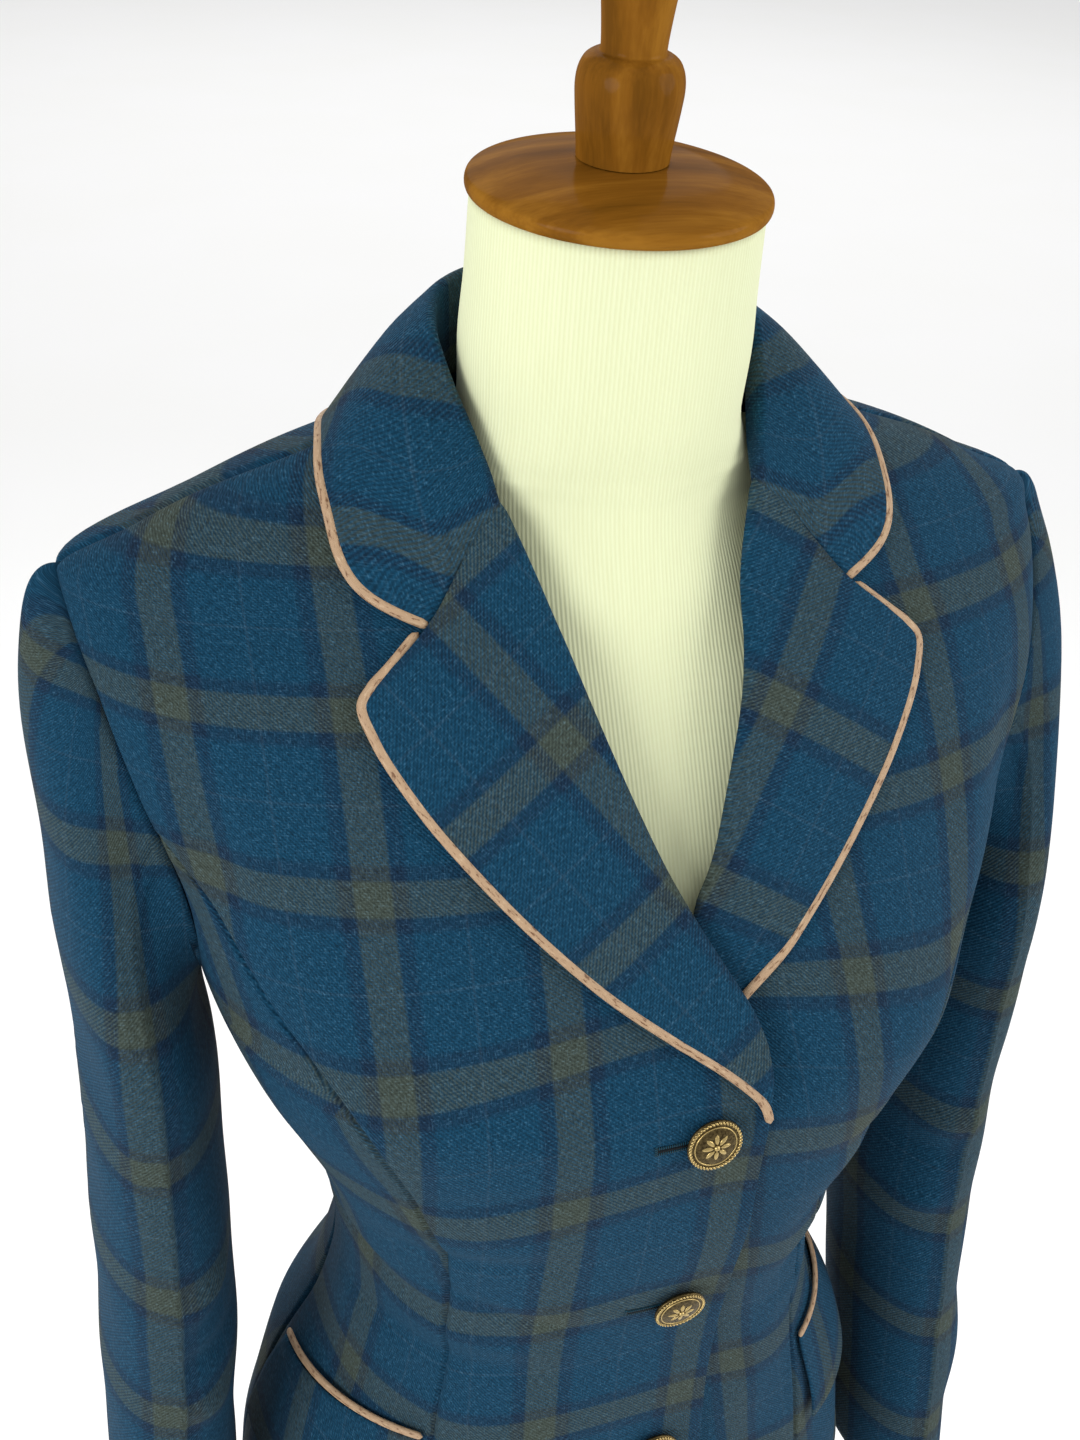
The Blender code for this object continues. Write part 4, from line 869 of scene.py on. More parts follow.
def stained_wood(form, name, lean, stretch):
    """Turned hardwood, stained warm brown and varnished: satin, with darker grain along the plank."""
    grain_width, pores_per_metre, pore_share = 0.0125, 900.0, 0.22
    dark_to, middle, light_from = 0.40, 0.60, 0.80
    grain_range, rough_dark, rough_light = (0.3, 0.7), 0.42, 0.28
    material, tree, shader = new_material(
        name, Coat_Weight=0.06, Coat_Roughness=0.14, Specular_IOR_Level=0.0)
    spot = add_node(tree, "TexCoord", {}).outputs["Object"]
    upright = add_node(
        tree, "Mapping", {"Vector": spot, "Rotation": (-lean, 0.0, 0.0), "Scale": stretch}).outputs[0]
    grain = add_node(tree, "TexNoise", {
        "Vector": upright, "Scale": 1 / grain_width, "Detail": 4.0, "Roughness": 0.5,
        "Distortion": 0.1}).outputs["Fac"]
    pores = add_node(
        tree, "TexNoise", {"Vector": upright, "Scale": pores_per_metre, "Detail": 2.0}).outputs["Fac"]
    mixed = add_node(tree, "Math", {0: pores, 1: pore_share, 2: grain}, operation="MULTIPLY_ADD").outputs[0]
    ramp = add_node(tree, "ValToRGB", {"Fac": mixed})
    set_stops(ramp, [(dark_to, form.wood_dark), (middle, form.wood), (light_from, form.wood_light)])
    rough = add_node(tree, "MapRange", {
        "Value": grain, "From Min": grain_range[0], "From Max": grain_range[1],
        "To Min": rough_dark, "To Max": rough_light})
    bump = add_node(tree, "Bump", {"Height": mixed, "Strength": 0.12, "Distance": 0.0005})
    set_inputs(shader, {
        "Base Color": ramp.outputs["Color"], "Roughness": rough.outputs["Result"],
        "Normal": bump.outputs["Normal"]})
    return material


def floor_paper(stage):
    """White studio paper: matte, with a trace of unevenness."""
    patches_per_metre, shade_to, light_from = 1.5, 0.3, 0.7
    material, tree, shader = new_material("studio_paper", Roughness=0.95, Specular_IOR_Level=0.1)
    spot = add_node(tree, "TexCoord", {}).outputs["Object"]
    uneven = add_node(tree, "TexNoise", {"Vector": spot, "Scale": patches_per_metre}).outputs["Fac"]
    ramp = add_node(tree, "ValToRGB", {"Fac": uneven})
    set_stops(ramp, [(shade_to, stage.floor_shade), (light_from, stage.floor)])
    set_inputs(shader, {"Base Color": ramp.outputs["Color"]})
    return material


def colour_property(name, description, text):
    """A colour setting, from six sRGB hex digits."""
    return bpy.props.FloatVectorProperty(
        name=name, description=description, subtype="COLOR", size=4, min=0.0, max=1.0,
        default=hex_colour(text))


def length_property(name, description, default):
    """A length setting, in metres."""
    return bpy.props.FloatProperty(
        name=name, description=description, default=default, min=0.0, unit="LENGTH")


def angle_property(name, description, degrees):
    """An angle setting."""
    return bpy.props.FloatProperty(
        name=name, description=description, default=math.radians(degrees), subtype="ANGLE")


def power_property(name, description, default):
    """A light's power, in watts."""
    return bpy.props.FloatProperty(
        name=name, description=description, default=default, min=0.0, unit="POWER")


class HuntCoatCloth(bpy.types.PropertyGroup):
    """Sizes and colours of the plaid wool."""

    repeat_across: length_property("Repeat across", "Width of one repeat of the check", 0.0660)
    repeat_down: length_property("Repeat down", "Height of one repeat of the check", 0.072)
    twill: length_property("Twill", "Spacing of the twill lines, measured along the weft", 0.0018)
    base: colour_property("Ground", "Teal ground of the check", "0f3b54")
    stripe: colour_property("Stripe", "Olive grey yarn of the broad stripes", "3d4741")
    edge: colour_property("Stripe edge", "Navy yarn beside the broad stripes", "132a40")
    fine: colour_property("Fine line", "Greyish yarn of the fine lines", "27465c")
    fleck: colour_property("Fleck", "Pale flecks in the yarn", "5a8096")


class HuntCoatTrim(bpy.types.PropertyGroup):
    """Sizes and colours of the piping, buttons and buttonholes."""

    piping_width: length_property("Piping width", "Width of the piping where it shows", 0.0040)
    piping_height: length_property("Piping height", "Height of the piping", 0.0026)
    piping: colour_property("Piping", "Tan of the cork piping", "ab8e70")
    fleck: colour_property("Piping fleck", "Brown flecks in the piping", "6b4a32")
    scuff: colour_property("Piping scuff", "Pale scuffs on the piping", "c4aa8b")
    brass: colour_property("Brass", "Rubbed brass of the raised work", "b7a06a")
    brass_dark: colour_property("Dark brass", "Darkened brass of the hollows", "352b1a")
    thread: colour_property("Thread", "Buttonhole twist", "123f50")
    # Painted shade between the stitches, also the painted shadow of the buttonhole slits.
    thread_dark: colour_property("Thread shade", "Shade between the stitches", "030a10")
    stitch: length_property("Stitch", "Spacing of the buttonhole stitches", 0.0009)


class HuntCoatForm(bpy.types.PropertyGroup):
    """Sizes and colours of the dress form."""

    rib: length_property("Rib", "Spacing of the jersey's ribs", 0.0017)
    jersey: colour_property("Jersey", "Cream of the jersey", "dfe5be")
    # Painted shade between the ribs, shared with the darker slubs.
    jersey_shade: colour_property("Jersey shade", "Shade between the ribs", "d2d5a8")
    wood: colour_property("Wood", "Stained wood", "784d15")
    wood_dark: colour_property("Wood grain", "Dark grain of the wood", "633f10")
    wood_light: colour_property("Wood light", "Pale grain of the wood", "8e601e")


class HuntCoatStage(bpy.types.PropertyGroup):
    """The floor, the lights and the camera."""

    floor: colour_property("Floor", "Pale floor", "fcfcfc")
    floor_shade: colour_property("Floor shade", "Unevenness of the floor", "fbfbfa")
    camera: bpy.props.FloatVectorProperty(
        name="Camera", description="Place of the camera", subtype="TRANSLATION",
        default=(-0.2148, -0.5358, 1.5984))
    heading: angle_property("Heading", "Turn of the camera to the right of +Y", 19.95)
    tilt: angle_property("Tilt", "Tilt of the camera below level", 32.02)
    roll: angle_property("Roll", "Roll of the camera", 3.18)
    lens: bpy.props.FloatProperty(
        name="Lens", description="Focal length on a picture whose long side is 36 mm", default=39.40,
        min=1.0, unit="CAMERA")
    key: power_property("Key light", "Power of the key light", 37.0)
    fill: power_property("Fill light", "Power of the fill light", 30.0)
    wash: power_property("Floor wash", "Power of the light over the floor", 90.0)
    sky: bpy.props.FloatProperty(
        name="Sky", description="Strength of the even light all round", default=0.74, min=0.0)


def stripe_down(drop, turn, repeat):
    """The place down the cloth, in metres, so that level stripes fall where the coat has them."""
    sink = STRIPE_SINK * smooth_step(*STRIPE_SINK_DROPS, drop)
    sink = sink * smooth_step(0, STRIPE_SINK_TURN, np.abs(turn))
    return (STRIPE_COUNT(drop - sink) + 0.5) * repeat


def front_edge_across(drop):
    """The right front's free edge: its roll line above the break, its straight edge below."""
    return np.where(np.asarray(drop) < BREAK_DROP, ROLL_ACROSS(drop), -FRONT_EXTENSION)


def under_right_front(across, drop):
    """How far a point of the left front lies under the right one, from 1 to 0."""
    near, far = 0.002, 0.036
    return 1 - smooth_step(near, far, across + front_edge_across(drop))


def left_front_lift(across, drop):
    """How far the left front sinks under the right one."""
    deep, shallow = 0.0052, 0.0027
    deep_to, shallow_from = 0.19, 0.24
    depth = deep + (shallow - deep) * smooth_step(deep_to, shallow_from, drop)
    return -depth * under_right_front(across, drop)


def right_front_lift(across, drop):
    """The right front's free edge stands out a little below the break."""
    rise, width = 0.0008, 0.007
    off = across - front_edge_across(drop)
    return rise * np.exp(-((off / width) ** 2)) * smooth_step(BREAK_DROP, BREAK_DROP + width, drop)


def left_lapel_lift(across, drop):
    """How far the left lapel sinks beside the right front's edge."""
    depth = 0.0072
    return -depth * under_right_front(across, drop)


def front_outer_turn(drop):
    """A front ends at the shoulder seam, then the armhole, then the princess seam."""
    turn = np.where(drop < SHOULDER_TIP_DROP, SHOULDER_TURN, ARMHOLE_FRONT(drop))
    return np.where(drop < PRINCESS_TOP_DROP, turn, turn_at(PRINCESS_ACROSS(drop), drop))


def spaced_rows(stretches):
    """Drops of rows, from stretches that each give a start, an end and the step between rows."""
    rows = [np.linspace(a, b, round((b - a) / step), endpoint=False) for a, b, step in stretches]
    return np.concatenate(rows + [[stretches[-1][1]]])


def panel_sheet(drops, inner, outer, columns, side, sewn, lift=None):
    """A body panel's points, way out, arcs, drops and turns, with its creases and seam hollows."""
    nudge = 0.05
    turns = []
    for edge, way in ((inner, 1), (outer, -1)):
        moved = edge + way * nudge
        per_degree = np.linalg.norm(coat_frame(moved, drops)[0] - coat_frame(edge, drops)[0], axis=-1)
        turns.append(edge + (moved - edge) * (SEAM_GAP / 2) / per_degree)
    share = np.linspace(0, 1, columns)
    even = turns[0][:, None] * (1 - share) + turns[1][:, None] * share
    even_run = run_length(coat_frame(even, drops[:, None])[0], 1)
    turn = []
    for line, run in zip(even, even_run):
        beside = np.minimum(SEAM_COLUMNS[0], run[-1] * np.array(SEAM_COLUMNS[1]))
        middle = np.linspace(beside[-1], run[-1] - beside[-1], columns)[1:-1]
        turn.append(np.interp(np.concatenate([beside, middle, run[-1] - beside[::-1]]), run, line))
    turn = np.array(turn)
    drop = np.repeat(drops[:, None], turn.shape[1], axis=1)
    point, out = coat_frame(turn, drop)
    arc = arc_at(COAT_COLUMNS, turn, drop)
    height = crease_height(arc, drop, BODY_CREASES[side])
    run = run_length(point, 1)
    for is_sewn, off in zip(sewn, (run, run[:, -1:] - run)):
        if is_sewn:
            height = height - seam_hollow(off)
    if lift is not None:
        height = height + lift(point[..., 0], drop)
    return point + out * height[..., None], out, arc, drop, turn


def build_body(cloth, wool):
    """The fronts, side fronts and backs."""
    drops = spaced_rows(BODY_STRETCHES)
    low = drops[drops >= PRINCESS_TOP_DROP]
    repeat = cloth.repeat_across
    for side, word in SIDES:
        right = side == RIGHT
        inner = front_edge_across(drops)
        if not right:
            inner = np.maximum(ROLL_ACROSS(drops) + SET_BACK(drops), -UNDER_EXTENSION)
        back = np.where(drops < SHOULDER_TIP_DROP, SHOULDER_TURN, ARMHOLE_BACK(drops))
        underarm = np.where(low < ARMHOLE_BOTTOM_DROP, ARMHOLE_FRONT(low), SIDE_SEAM_TURN)
        princess = turn_at(PRINCESS_ACROSS(low), low)
        middle = np.full(len(drops), CENTRE_BACK_TURN)
        cuts = (
            ("front", drops, turn_at(inner, drops), front_outer_turn(drops), FRONT_COLUMNS, (False, True)),
            ("side_front", low, princess, underarm, SIDE_FRONT_COLUMNS, (True, True)),
            ("back", drops, back, middle, BACK_COLUMNS, (True, True)),
        )
        for cut, rows, start, end, columns, sewn in cuts:
            lift = (right_front_lift if right else left_front_lift) if cut == "front" else None
            sheet, out, arc, drop, turn = panel_sheet(rows, start, end, columns, side, sewn, lift)
            if cut == "front":
                across = side * arc - (RIGHT_FRONT_STRIPE if right else LEFT_FRONT_STRIPE)
                across = across - (0 if right else LEFT_FRONT_LEAN * (drop - LEFT_FRONT_LEAN_DROP))
            elif cut == "back":
                across = side * (arc[:, -1:] - arc)
            else:
                across = side * (arc - (arc[:, :1] + arc[:, -1:]) / 2)
            lower = 0 if cut == "back" else STRIPE_LOWER[side]
            grain = np.stack([across + repeat / 2, stripe_down(drop - lower, turn, cloth.repeat_down)], -1)
            node = f"{cut}_{word}"
            mesh = shell(f"{node}_cloth", sheet, sheet - out * CLOTH, grain, side)
            piece = add_piece(mesh, wool, "plaid_wool", node)
            declare_cut(sheet)


def lapel_rows(side):
    """Rows of a lapel, smoothed between those of its table."""
    table = np.array(LAPEL_LEFT_ROWS if side == LEFT else LAPEL_RIGHT_ROWS, float)
    knots, spots = np.arange(len(table)), np.linspace(0, len(table) - 1, LAPEL_LINES)
    return np.stack([monotone_curve(knots, column)(spots) for column in table.T], 1)


def lapel_height(share, across, drop, side):
    """How far a lapel stands off the coat's outer face."""
    height = LAPEL_LIFT + (LAPEL_EDGE_LIFT - LAPEL_LIFT) * share
    return height + (left_lapel_lift(across, drop) if side == LEFT else 0.0)


def lapel_sheet(rows, side):
    """The middle of a lapel's cloth, from its roll to its piped edge."""
    sheet = []
    for roll_across, roll_drop, edge_across, edge_drop, tucked, bend in rows:
        share = np.array(LAPEL_SHARES)
        across = roll_across + (edge_across - roll_across) * share
        drop = roll_drop + (edge_drop - roll_drop) * share + bend * np.interp(share, *NOTCH_BEND)
        point, out = coat_frame(turn_at(across, drop), drop)
        belly = LAPEL_BELLY * np.sin(math.pi * share) * (1 - tucked)
        lifted = point + out * (lapel_height(share, across, drop, side) + belly)[:, None]
        run = unit(point[1] - point[0])
        base = lapel_height(0.0, roll_across, roll_drop, side)
        turned = []
        for (inside, height), flat in zip(ROLL_TURN, ROLL_FLAT):
            s = inside + (flat - inside) * tucked
            h = (height - LAPEL_LIFT) * (1 - tucked) + base
            turned.append(point[0] + run * s + out[0] * h)
        sheet.append(np.concatenate([turned, lifted]))
    return np.array(sheet)


def gorge_tuck(sheet):
    """Rows that carry a lapel's top on under the collar, out to the notch."""
    length, depth, notch_share, least, steps = 0.0075, 0.0014, 0.60, 0.02, (1.0, 0.66, 0.33)
    top, out = sheet[0], grid_normals(sheet)[0]
    run = run_length(top, 0) / run_length(top, 0)[-1]
    reach = np.clip(1 - run / notch_share, least, 1)[:, None]
    tuck = unit(top - sheet[1]) * length - out * depth
    return np.array([top + tuck * reach * s for s in steps])


def build_lapels(cloth, wool):
    """The turned back lapels, cut with the stripe along their outer edge."""
    for side, word in SIDES:
        rows = lapel_rows(side)
        drops = [LapelRow._fields.index(field) for field in ("roll_drop", "edge_drop")]
        rows[-1, drops] += GORGE_GAP
        sheet = smooth_lines(lapel_sheet(rows, side)[::-1], LAPEL_COLUMNS)
        sheet = np.concatenate([gorge_tuck(sheet), sheet])
        thick = grid_normals(sheet) * LAPEL_CLOTH / 2
        tip = sheet[np.argmax(sheet[:, -1, 0]), -1]
        down_way = unit(sheet[-LAPEL_LINES // 4, -1] - tip)
        inward_way = unit(np.cross(down_way, grid_normals(sheet)[LAPEL_LINES // 3, LAPEL_COLUMNS // 2]))
        stripe_off, stripe_along = LAPEL_LEFT_STRIPE if side == LEFT else LAPEL_RIGHT_STRIPE
        grain = np.stack([
            side * ((sheet - tip) @ inward_way - stripe_off) + cloth.repeat_across / 2,
            (sheet - tip) @ down_way - stripe_along + cloth.repeat_down / 2,
        ], -1)
        mesh = shell(f"lapel_{word}_cloth", sheet + thick, sheet - thick, grain, side)
        piece = add_piece(mesh, wool, "plaid_wool", f"lapel_{word}")
        declare_cut(sheet)


def smoothed(values, passes):
    """Values evened out along their first axis, with the ends held."""
    values = values.copy()
    for _ in range(passes):
        values[1:-1] = (values[:-2] + 2 * values[1:-1] + values[2:]) / 4
    return values


def both_halves(half):
    """The left half of the collar and its mirror image, in one run."""
    return np.concatenate([half, on_side(half, RIGHT)[-2::-1]])


def collar_half():
    """Stand, roll and outer edge of half the collar, from the gorge to the centre back."""
    spots = np.linspace(0, len(COLLAR_ROWS) - 1, COLLAR_LINES)
    knots = np.arange(len(COLLAR_ROWS))
    middle = np.array([0, 0, LEVEL_LINE_HEIGHT])

    def smooth(values):
        return np.stack([monotone_curve(knots, column)(spots) for column in np.array(values, float).T], 1)

    stand = smooth([row.stand for row in COLLAR_ROWS]) + middle
    roll = smooth([row.roll for row in COLLAR_ROWS]) + middle
    edge_turn = smoothed(smooth([(row.edge_turn,) for row in COLLAR_ROWS])[:, 0], COLLAR_EDGE_PASSES)
    (edge_drop,) = columns_of([(row.edge_turn, row.edge_drop) for row in COLLAR_ROWS])
    point, out = coat_frame(edge_turn, edge_drop(edge_turn))
    edge = smoothed(point + out * COLLAR_EDGE_LIFT, COLLAR_EDGE_PASSES // 2)
    return stand, roll, edge, out


def collar_section(stand, roll, edge, swell, opened):
    """One cut through the collar: up the stand, over the roll and down the fall."""
    level = unit((edge - roll) * np.array([1, 1, 0]))
    turn_half, turn_rise = COLLAR_TURN_HALF * opened, COLLAR_TURN_RISE * opened
    inside, outside = roll - level * turn_half, roll + level * turn_half
    crest = roll + np.array([0, 0, turn_rise])
    fall = edge - outside
    up = unit(np.cross(fall, np.array([-level[1], level[0], 0])))
    up = up * np.sign(up[2])
    middle = stand + (inside - stand) * COLLAR_STAND_SHARE
    folded = [outside + fall * along + up * swell * share for along, share in COLLAR_FALL_POINTS]
    return [stand, middle, inside, crest, outside, *folded, edge]


def build_collar(cloth, wool):
    """The collar, stand and fall in one, with the stripes across it."""
    stand, roll, edge, _ = collar_half()
    share = np.linspace(0, 1, COLLAR_LINES)
    swell = COLLAR_SWELL * smooth_step(0, COLLAR_SWELL_SHARE, share)
    opened = COLLAR_END_FOLD + (1 - COLLAR_END_FOLD) * smooth_step(0, COLLAR_END_SHARE, share)
    half = np.array([collar_section(*cut) for cut in zip(stand, roll, edge, swell, opened)])
    sheet = both_halves(smooth_lines(half, COLLAR_COLUMNS))
    thick = grid_normals(sheet) * LAPEL_CLOTH / 2
    middle = 3 * COLLAR_COLUMNS // 4
    line = sheet[:, middle:middle + 1]
    tangent = unit(np.gradient(line, axis=0))
    skew = ((sheet - line) * tangent).sum(-1)
    along = run_length(line, 0)
    along = np.abs(along - along[len(along) // 2] + skew)
    square = np.diff(sheet, axis=1)
    square = square - (square * tangent).sum(-1, keepdims=True) * tangent
    outward = np.cumsum(np.linalg.norm(square, axis=-1), axis=1)
    outward = np.concatenate([0 * along[:, :1], outward], axis=1)
    crest = int(np.median(np.argmax(sheet[..., 2], axis=1)))
    fall = COLLAR_FALL - (outward - outward[:, crest:crest + 1])
    fall = fall + COLLAR_STRAY * np.maximum(along - COLLAR_STRAY_FROM, 0.0)
    stripe_along, stripe_off = COLLAR_STRIPE
    lean = COLLAR_LEAN * fall * smooth_step(*COLLAR_LEAN_ALONG, along)
    end_lean = smooth_step(*COLLAR_END_LEAN_ALONG, along) * smooth_step(*COLLAR_END_LEAN_FALL, fall)
    lean = lean + COLLAR_END_LEAN * end_lean
    past = np.maximum(along - COLLAR_EDGE_STRAY_FROM, 0.0)
    stray = COLLAR_EDGE_STRAY * past * np.clip(1 - fall / COLLAR_EDGE_STRAY_FALL, 0.0, 1.0)
    grain = np.stack([
        stripe_along - along + lean + cloth.repeat_across / 2,
        fall + stray - stripe_off + cloth.repeat_down / 2,
    ], -1)
    mesh = shell("collar_cloth", sheet + thick, sheet - thick, grain, LEFT)
    piece = add_piece(mesh, wool, "plaid_wool", "collar")
    declare_cut(sheet)


def sleeve_rings():
    """Rings of the left sleeve: out of the armhole seam, over the head, and down to the cuff."""
    round_turn = np.arange(SLEEVE_COLUMNS) * 360.0 / SLEEVE_COLUMNS
    cosine, sine = np.cos(np.radians(round_turn)), np.sin(np.radians(round_turn))
    span = ARMHOLE_BOTTOM_DROP - SHOULDER_TIP_DROP
    drop = SHOULDER_TIP_DROP + span * (1 - cosine) / 2
    turn = np.where(round_turn <= 180, ARMHOLE_FRONT(drop), ARMHOLE_BACK(drop))
    seam, out = coat_frame(turn, drop)
    start = seam + np.array([SLEEVE_CLEAR, 0, 0])
    tuck = seam + np.array([2 * SEAM_GAP, 0, 0]) - out * SLEEVE_TUCK
    centre_x, centre_y, half_x, half_y = columns_of(SLEEVE_SECTIONS)

    def section(at):
        x = centre_x(at) + half_x(at) * cosine
        y = centre_y(at) - half_y(at) * sine
        return np.stack([x, y, np.full(SLEEVE_COLUMNS, LEVEL_LINE_HEIGHT - at)], 1)

    first = SLEEVE_SECTIONS[0].drop
    end = section(first)
    full = np.linalg.norm(end - start, axis=1)[:, None] * HEAD_FULLNESS
    upper = ((1 + cosine) / 2)[:, None]
    leave = upper * HEAD_LEAVES + (1 - upper) * UNDERARM_LEAVES * full
    arrive = HANGS * full
    rings = [tuck]
    for s in np.linspace(0, 1, SLEEVE_HEAD_LINES, endpoint=False) ** HEAD_LINES_CLOSER:
        ring = start * (1 + 2 * s) * (1 - s) ** 2 + end * s**2 * (3 - 2 * s)
        rings.append(ring + s * (1 - s) * (leave * (1 - s) - arrive * s))
    rings += [section(at) for at in np.linspace(first, CUFF_DROP, SLEEVE_LINES)]
    return np.array(rings)


def sleeve_grain(rings):
    """The turn round a sleeve's own upright axis, the arc from its outer side, and the arc all round."""
    drop = np.clip(LEVEL_LINE_HEIGHT - rings[..., 2], SLEEVE_SECTIONS[0].drop, None)
    centre_x, centre_y, half_x, half_y = (column(drop) for column in columns_of(SLEEVE_SECTIONS))
    turn = np.degrees(np.arctan2((centre_y - rings[..., 1]) / half_y, (rings[..., 0] - centre_x) / half_x))
    fine = np.linspace(-CENTRE_BACK_TURN, CENTRE_BACK_TURN, 2 * FINE_TURNS - 1)
    middle = SLEEVE_SECTIONS[len(SLEEVE_SECTIONS) // 2]
    oval = np.stack([middle.half_x * np.cos(np.radians(fine)), middle.half_y * np.sin(np.radians(fine))], 1)
    arc = run_length(oval, 0)
    return turn, np.interp(turn, fine, arc - arc[-1] / 2), arc[-1]


def build_sleeves(cloth, wool):
    """Upper and under sleeves, empty and hanging beside the body."""
    rings = sleeve_rings()
    quarter = SLEEVE_COLUMNS // 4
    plain_out = grid_normals(rings, ring=True)
    halves = {
        "sleeve_upper": np.arange(-quarter, quarter + 1) % SLEEVE_COLUMNS,
        "sleeve_under": np.arange(quarter, 3 * quarter + 1),
    }
    drop = LEVEL_LINE_HEIGHT - rings[..., 2]
    run_down = run_length(rings, 0)
    head = SLEEVE_HEAD_LINES + 1
    flat_drop = np.where(np.arange(len(rings))[:, None] < head, drop[head] + run_down - run_down[head], drop)
    grain_turn, grain_arc, girth = sleeve_grain(rings)
    per_degree = girth / 360
    fade = smooth_step(0.0, SLEEVE_CREASE_START, run_down)
    for side, word in SIDES:
        creases = [
            Crease(crease.from_turn * per_degree, crease.from_drop, crease.to_turn * per_degree,
                   crease.to_drop, crease.depth, crease.width)
            for crease in SLEEVE_CREASES[side]
        ]
        height = crease_height(np.mod(grain_turn, 360) * per_degree, drop, creases) * fade
        moved = rings + plain_out * height[..., None]
        for name, picked in halves.items():
            sheet, out = moved[:, picked].copy(), plain_out[:, picked]
            run = run_length(sheet, 1)
            for off in (run, run[:, -1:] - run):
                sheet = sheet - out * seam_hollow(off)[..., None]
            sheet[:, 0] += unit(sheet[:, 1] - sheet[:, 0]) * SEAM_GAP / 2
            sheet[:, -1] -= unit(sheet[:, -1] - sheet[:, -2]) * SEAM_GAP / 2
            arc = grain_arc[:, picked]
            if name == "sleeve_under":
                arc = np.where(arc < 0, arc + girth, arc)
            across = side * (arc - SLEEVE_STRIPE) + cloth.repeat_across / 2
            down = stripe_down(flat_drop[:, picked], SHOULDER_TURN, cloth.repeat_down)
            grain = np.stack([across, down], -1)
            mesh = shell(f"{name}_{word}_cloth", sheet, sheet - out * CLOTH, grain, side)
            piece = add_piece(mesh, wool, "plaid_wool", f"{name}_{word}")
            declare_cut(sheet)


def build_pockets(cloth, wool):
    """The slanted pocket flaps, cut so that the check runs through from the fronts."""
    share = np.linspace(0, 1, FLAP_COLUMNS)[None, :]
    depth = np.linspace(0, 1, FLAP_LINES)[:, None]
    front, back = FLAP_FRONT, FLAP_BACK
    top_turn = front.turn + (back.turn - front.turn) * share
    low_turn = front.bottom_turn + (back.bottom_turn - front.bottom_turn) * share
    top_drop = front.top_drop + (back.top_drop - front.top_drop) * share
    low_drop = front.bottom_drop + (back.bottom_drop - front.bottom_drop) * share
    turn = top_turn + (low_turn - top_turn) * depth
    drop = top_drop + (low_drop - top_drop) * depth
    point, out = coat_frame(turn, drop)
    lift = FLAP_TOP_LIFT + (FLAP_BOTTOM_LIFT - FLAP_TOP_LIFT) * depth
    sheet = point + out * lift[..., None]
    lines = [arc_at(COAT_COLUMNS, turn[:, [k]], drop[:, [k]]) for k in range(FLAP_COLUMNS)]
    arc = np.concatenate(lines, axis=1)
    thick = out * LAPEL_CLOTH / 2
    for side, word in SIDES:
        across = side * arc - (RIGHT_FRONT_STRIPE if side == RIGHT else LEFT_FRONT_STRIPE)
        down = stripe_down(drop - STRIPE_LOWER[side], turn, cloth.repeat_down)
        grain = np.stack([across + cloth.repeat_across / 2, down], -1)
        mesh = shell(f"pocket_flap_{word}_cloth", sheet + thick, sheet - thick, grain, side)
        piece = add_piece(mesh, wool, "plaid_wool", f"pocket_flap_{word}")
        declare_cut(sheet)


def closer(route, out, spacing):
    """A route and its ways out, with points at an even spacing along a smooth line."""
    share = run_length(route, 0)
    count = max(LEAST_POINTS, round(share[-1] / spacing))
    line = smooth_lines(route[None], count)[0]
    way = np.stack([np.interp(np.linspace(0, share[-1], count), share, out[:, k]) for k in range(3)], 1)
    return line, unit(way)


def beside(route, out):
    """The way to the side of a route, square to it and to the way out of the cloth."""
    return unit(np.cross(np.gradient(route, axis=0), out))


def cord_parts(route, out, width, height, taper):
    """Points, faces and grain of a closed cord along a route, flatter than wide, with rounded ends."""
    least = 0.02
    away = beside(route, out)
    length = run_length(route, 0)
    near_end = np.minimum(length, length[-1] - length)
    size = np.sqrt(np.clip(1 - (1 - np.clip(near_end / taper, 0, 1)) ** 2, least, 1))[:, None, None]
    angle = np.arange(PIPING_POINTS) * 2 * math.pi / PIPING_POINTS
    ring = away[:, None] * np.cos(angle)[None, :, None] * width / 2
    ring = ring + out[:, None] * np.sin(angle)[None, :, None] * height / 2
    points = (route[:, None] + ring * size).reshape(-1, 3)
    rows, columns = len(route), PIPING_POINTS
    index = np.arange(rows * columns).reshape(rows, columns)
    after = np.roll(index, -1, axis=1)
    quads = np.stack([index[:-1], after[:-1], after[1:], index[1:]], -1).reshape(-1, 4).tolist()
    faces = quads + [index[0, ::-1].tolist(), index[-1].tolist()]
    ways_out = np.cross(points[after[0, 0]] - points[0], points[columns] - points[0])
    if np.dot(ways_out, points[0] - route[0]) < 0:
        faces = [face[:1] + face[:0:-1] for face in faces]
    grain = np.stack([np.repeat(length, columns), np.tile(angle * width / 2, rows)], -1)
    return points, faces, grain


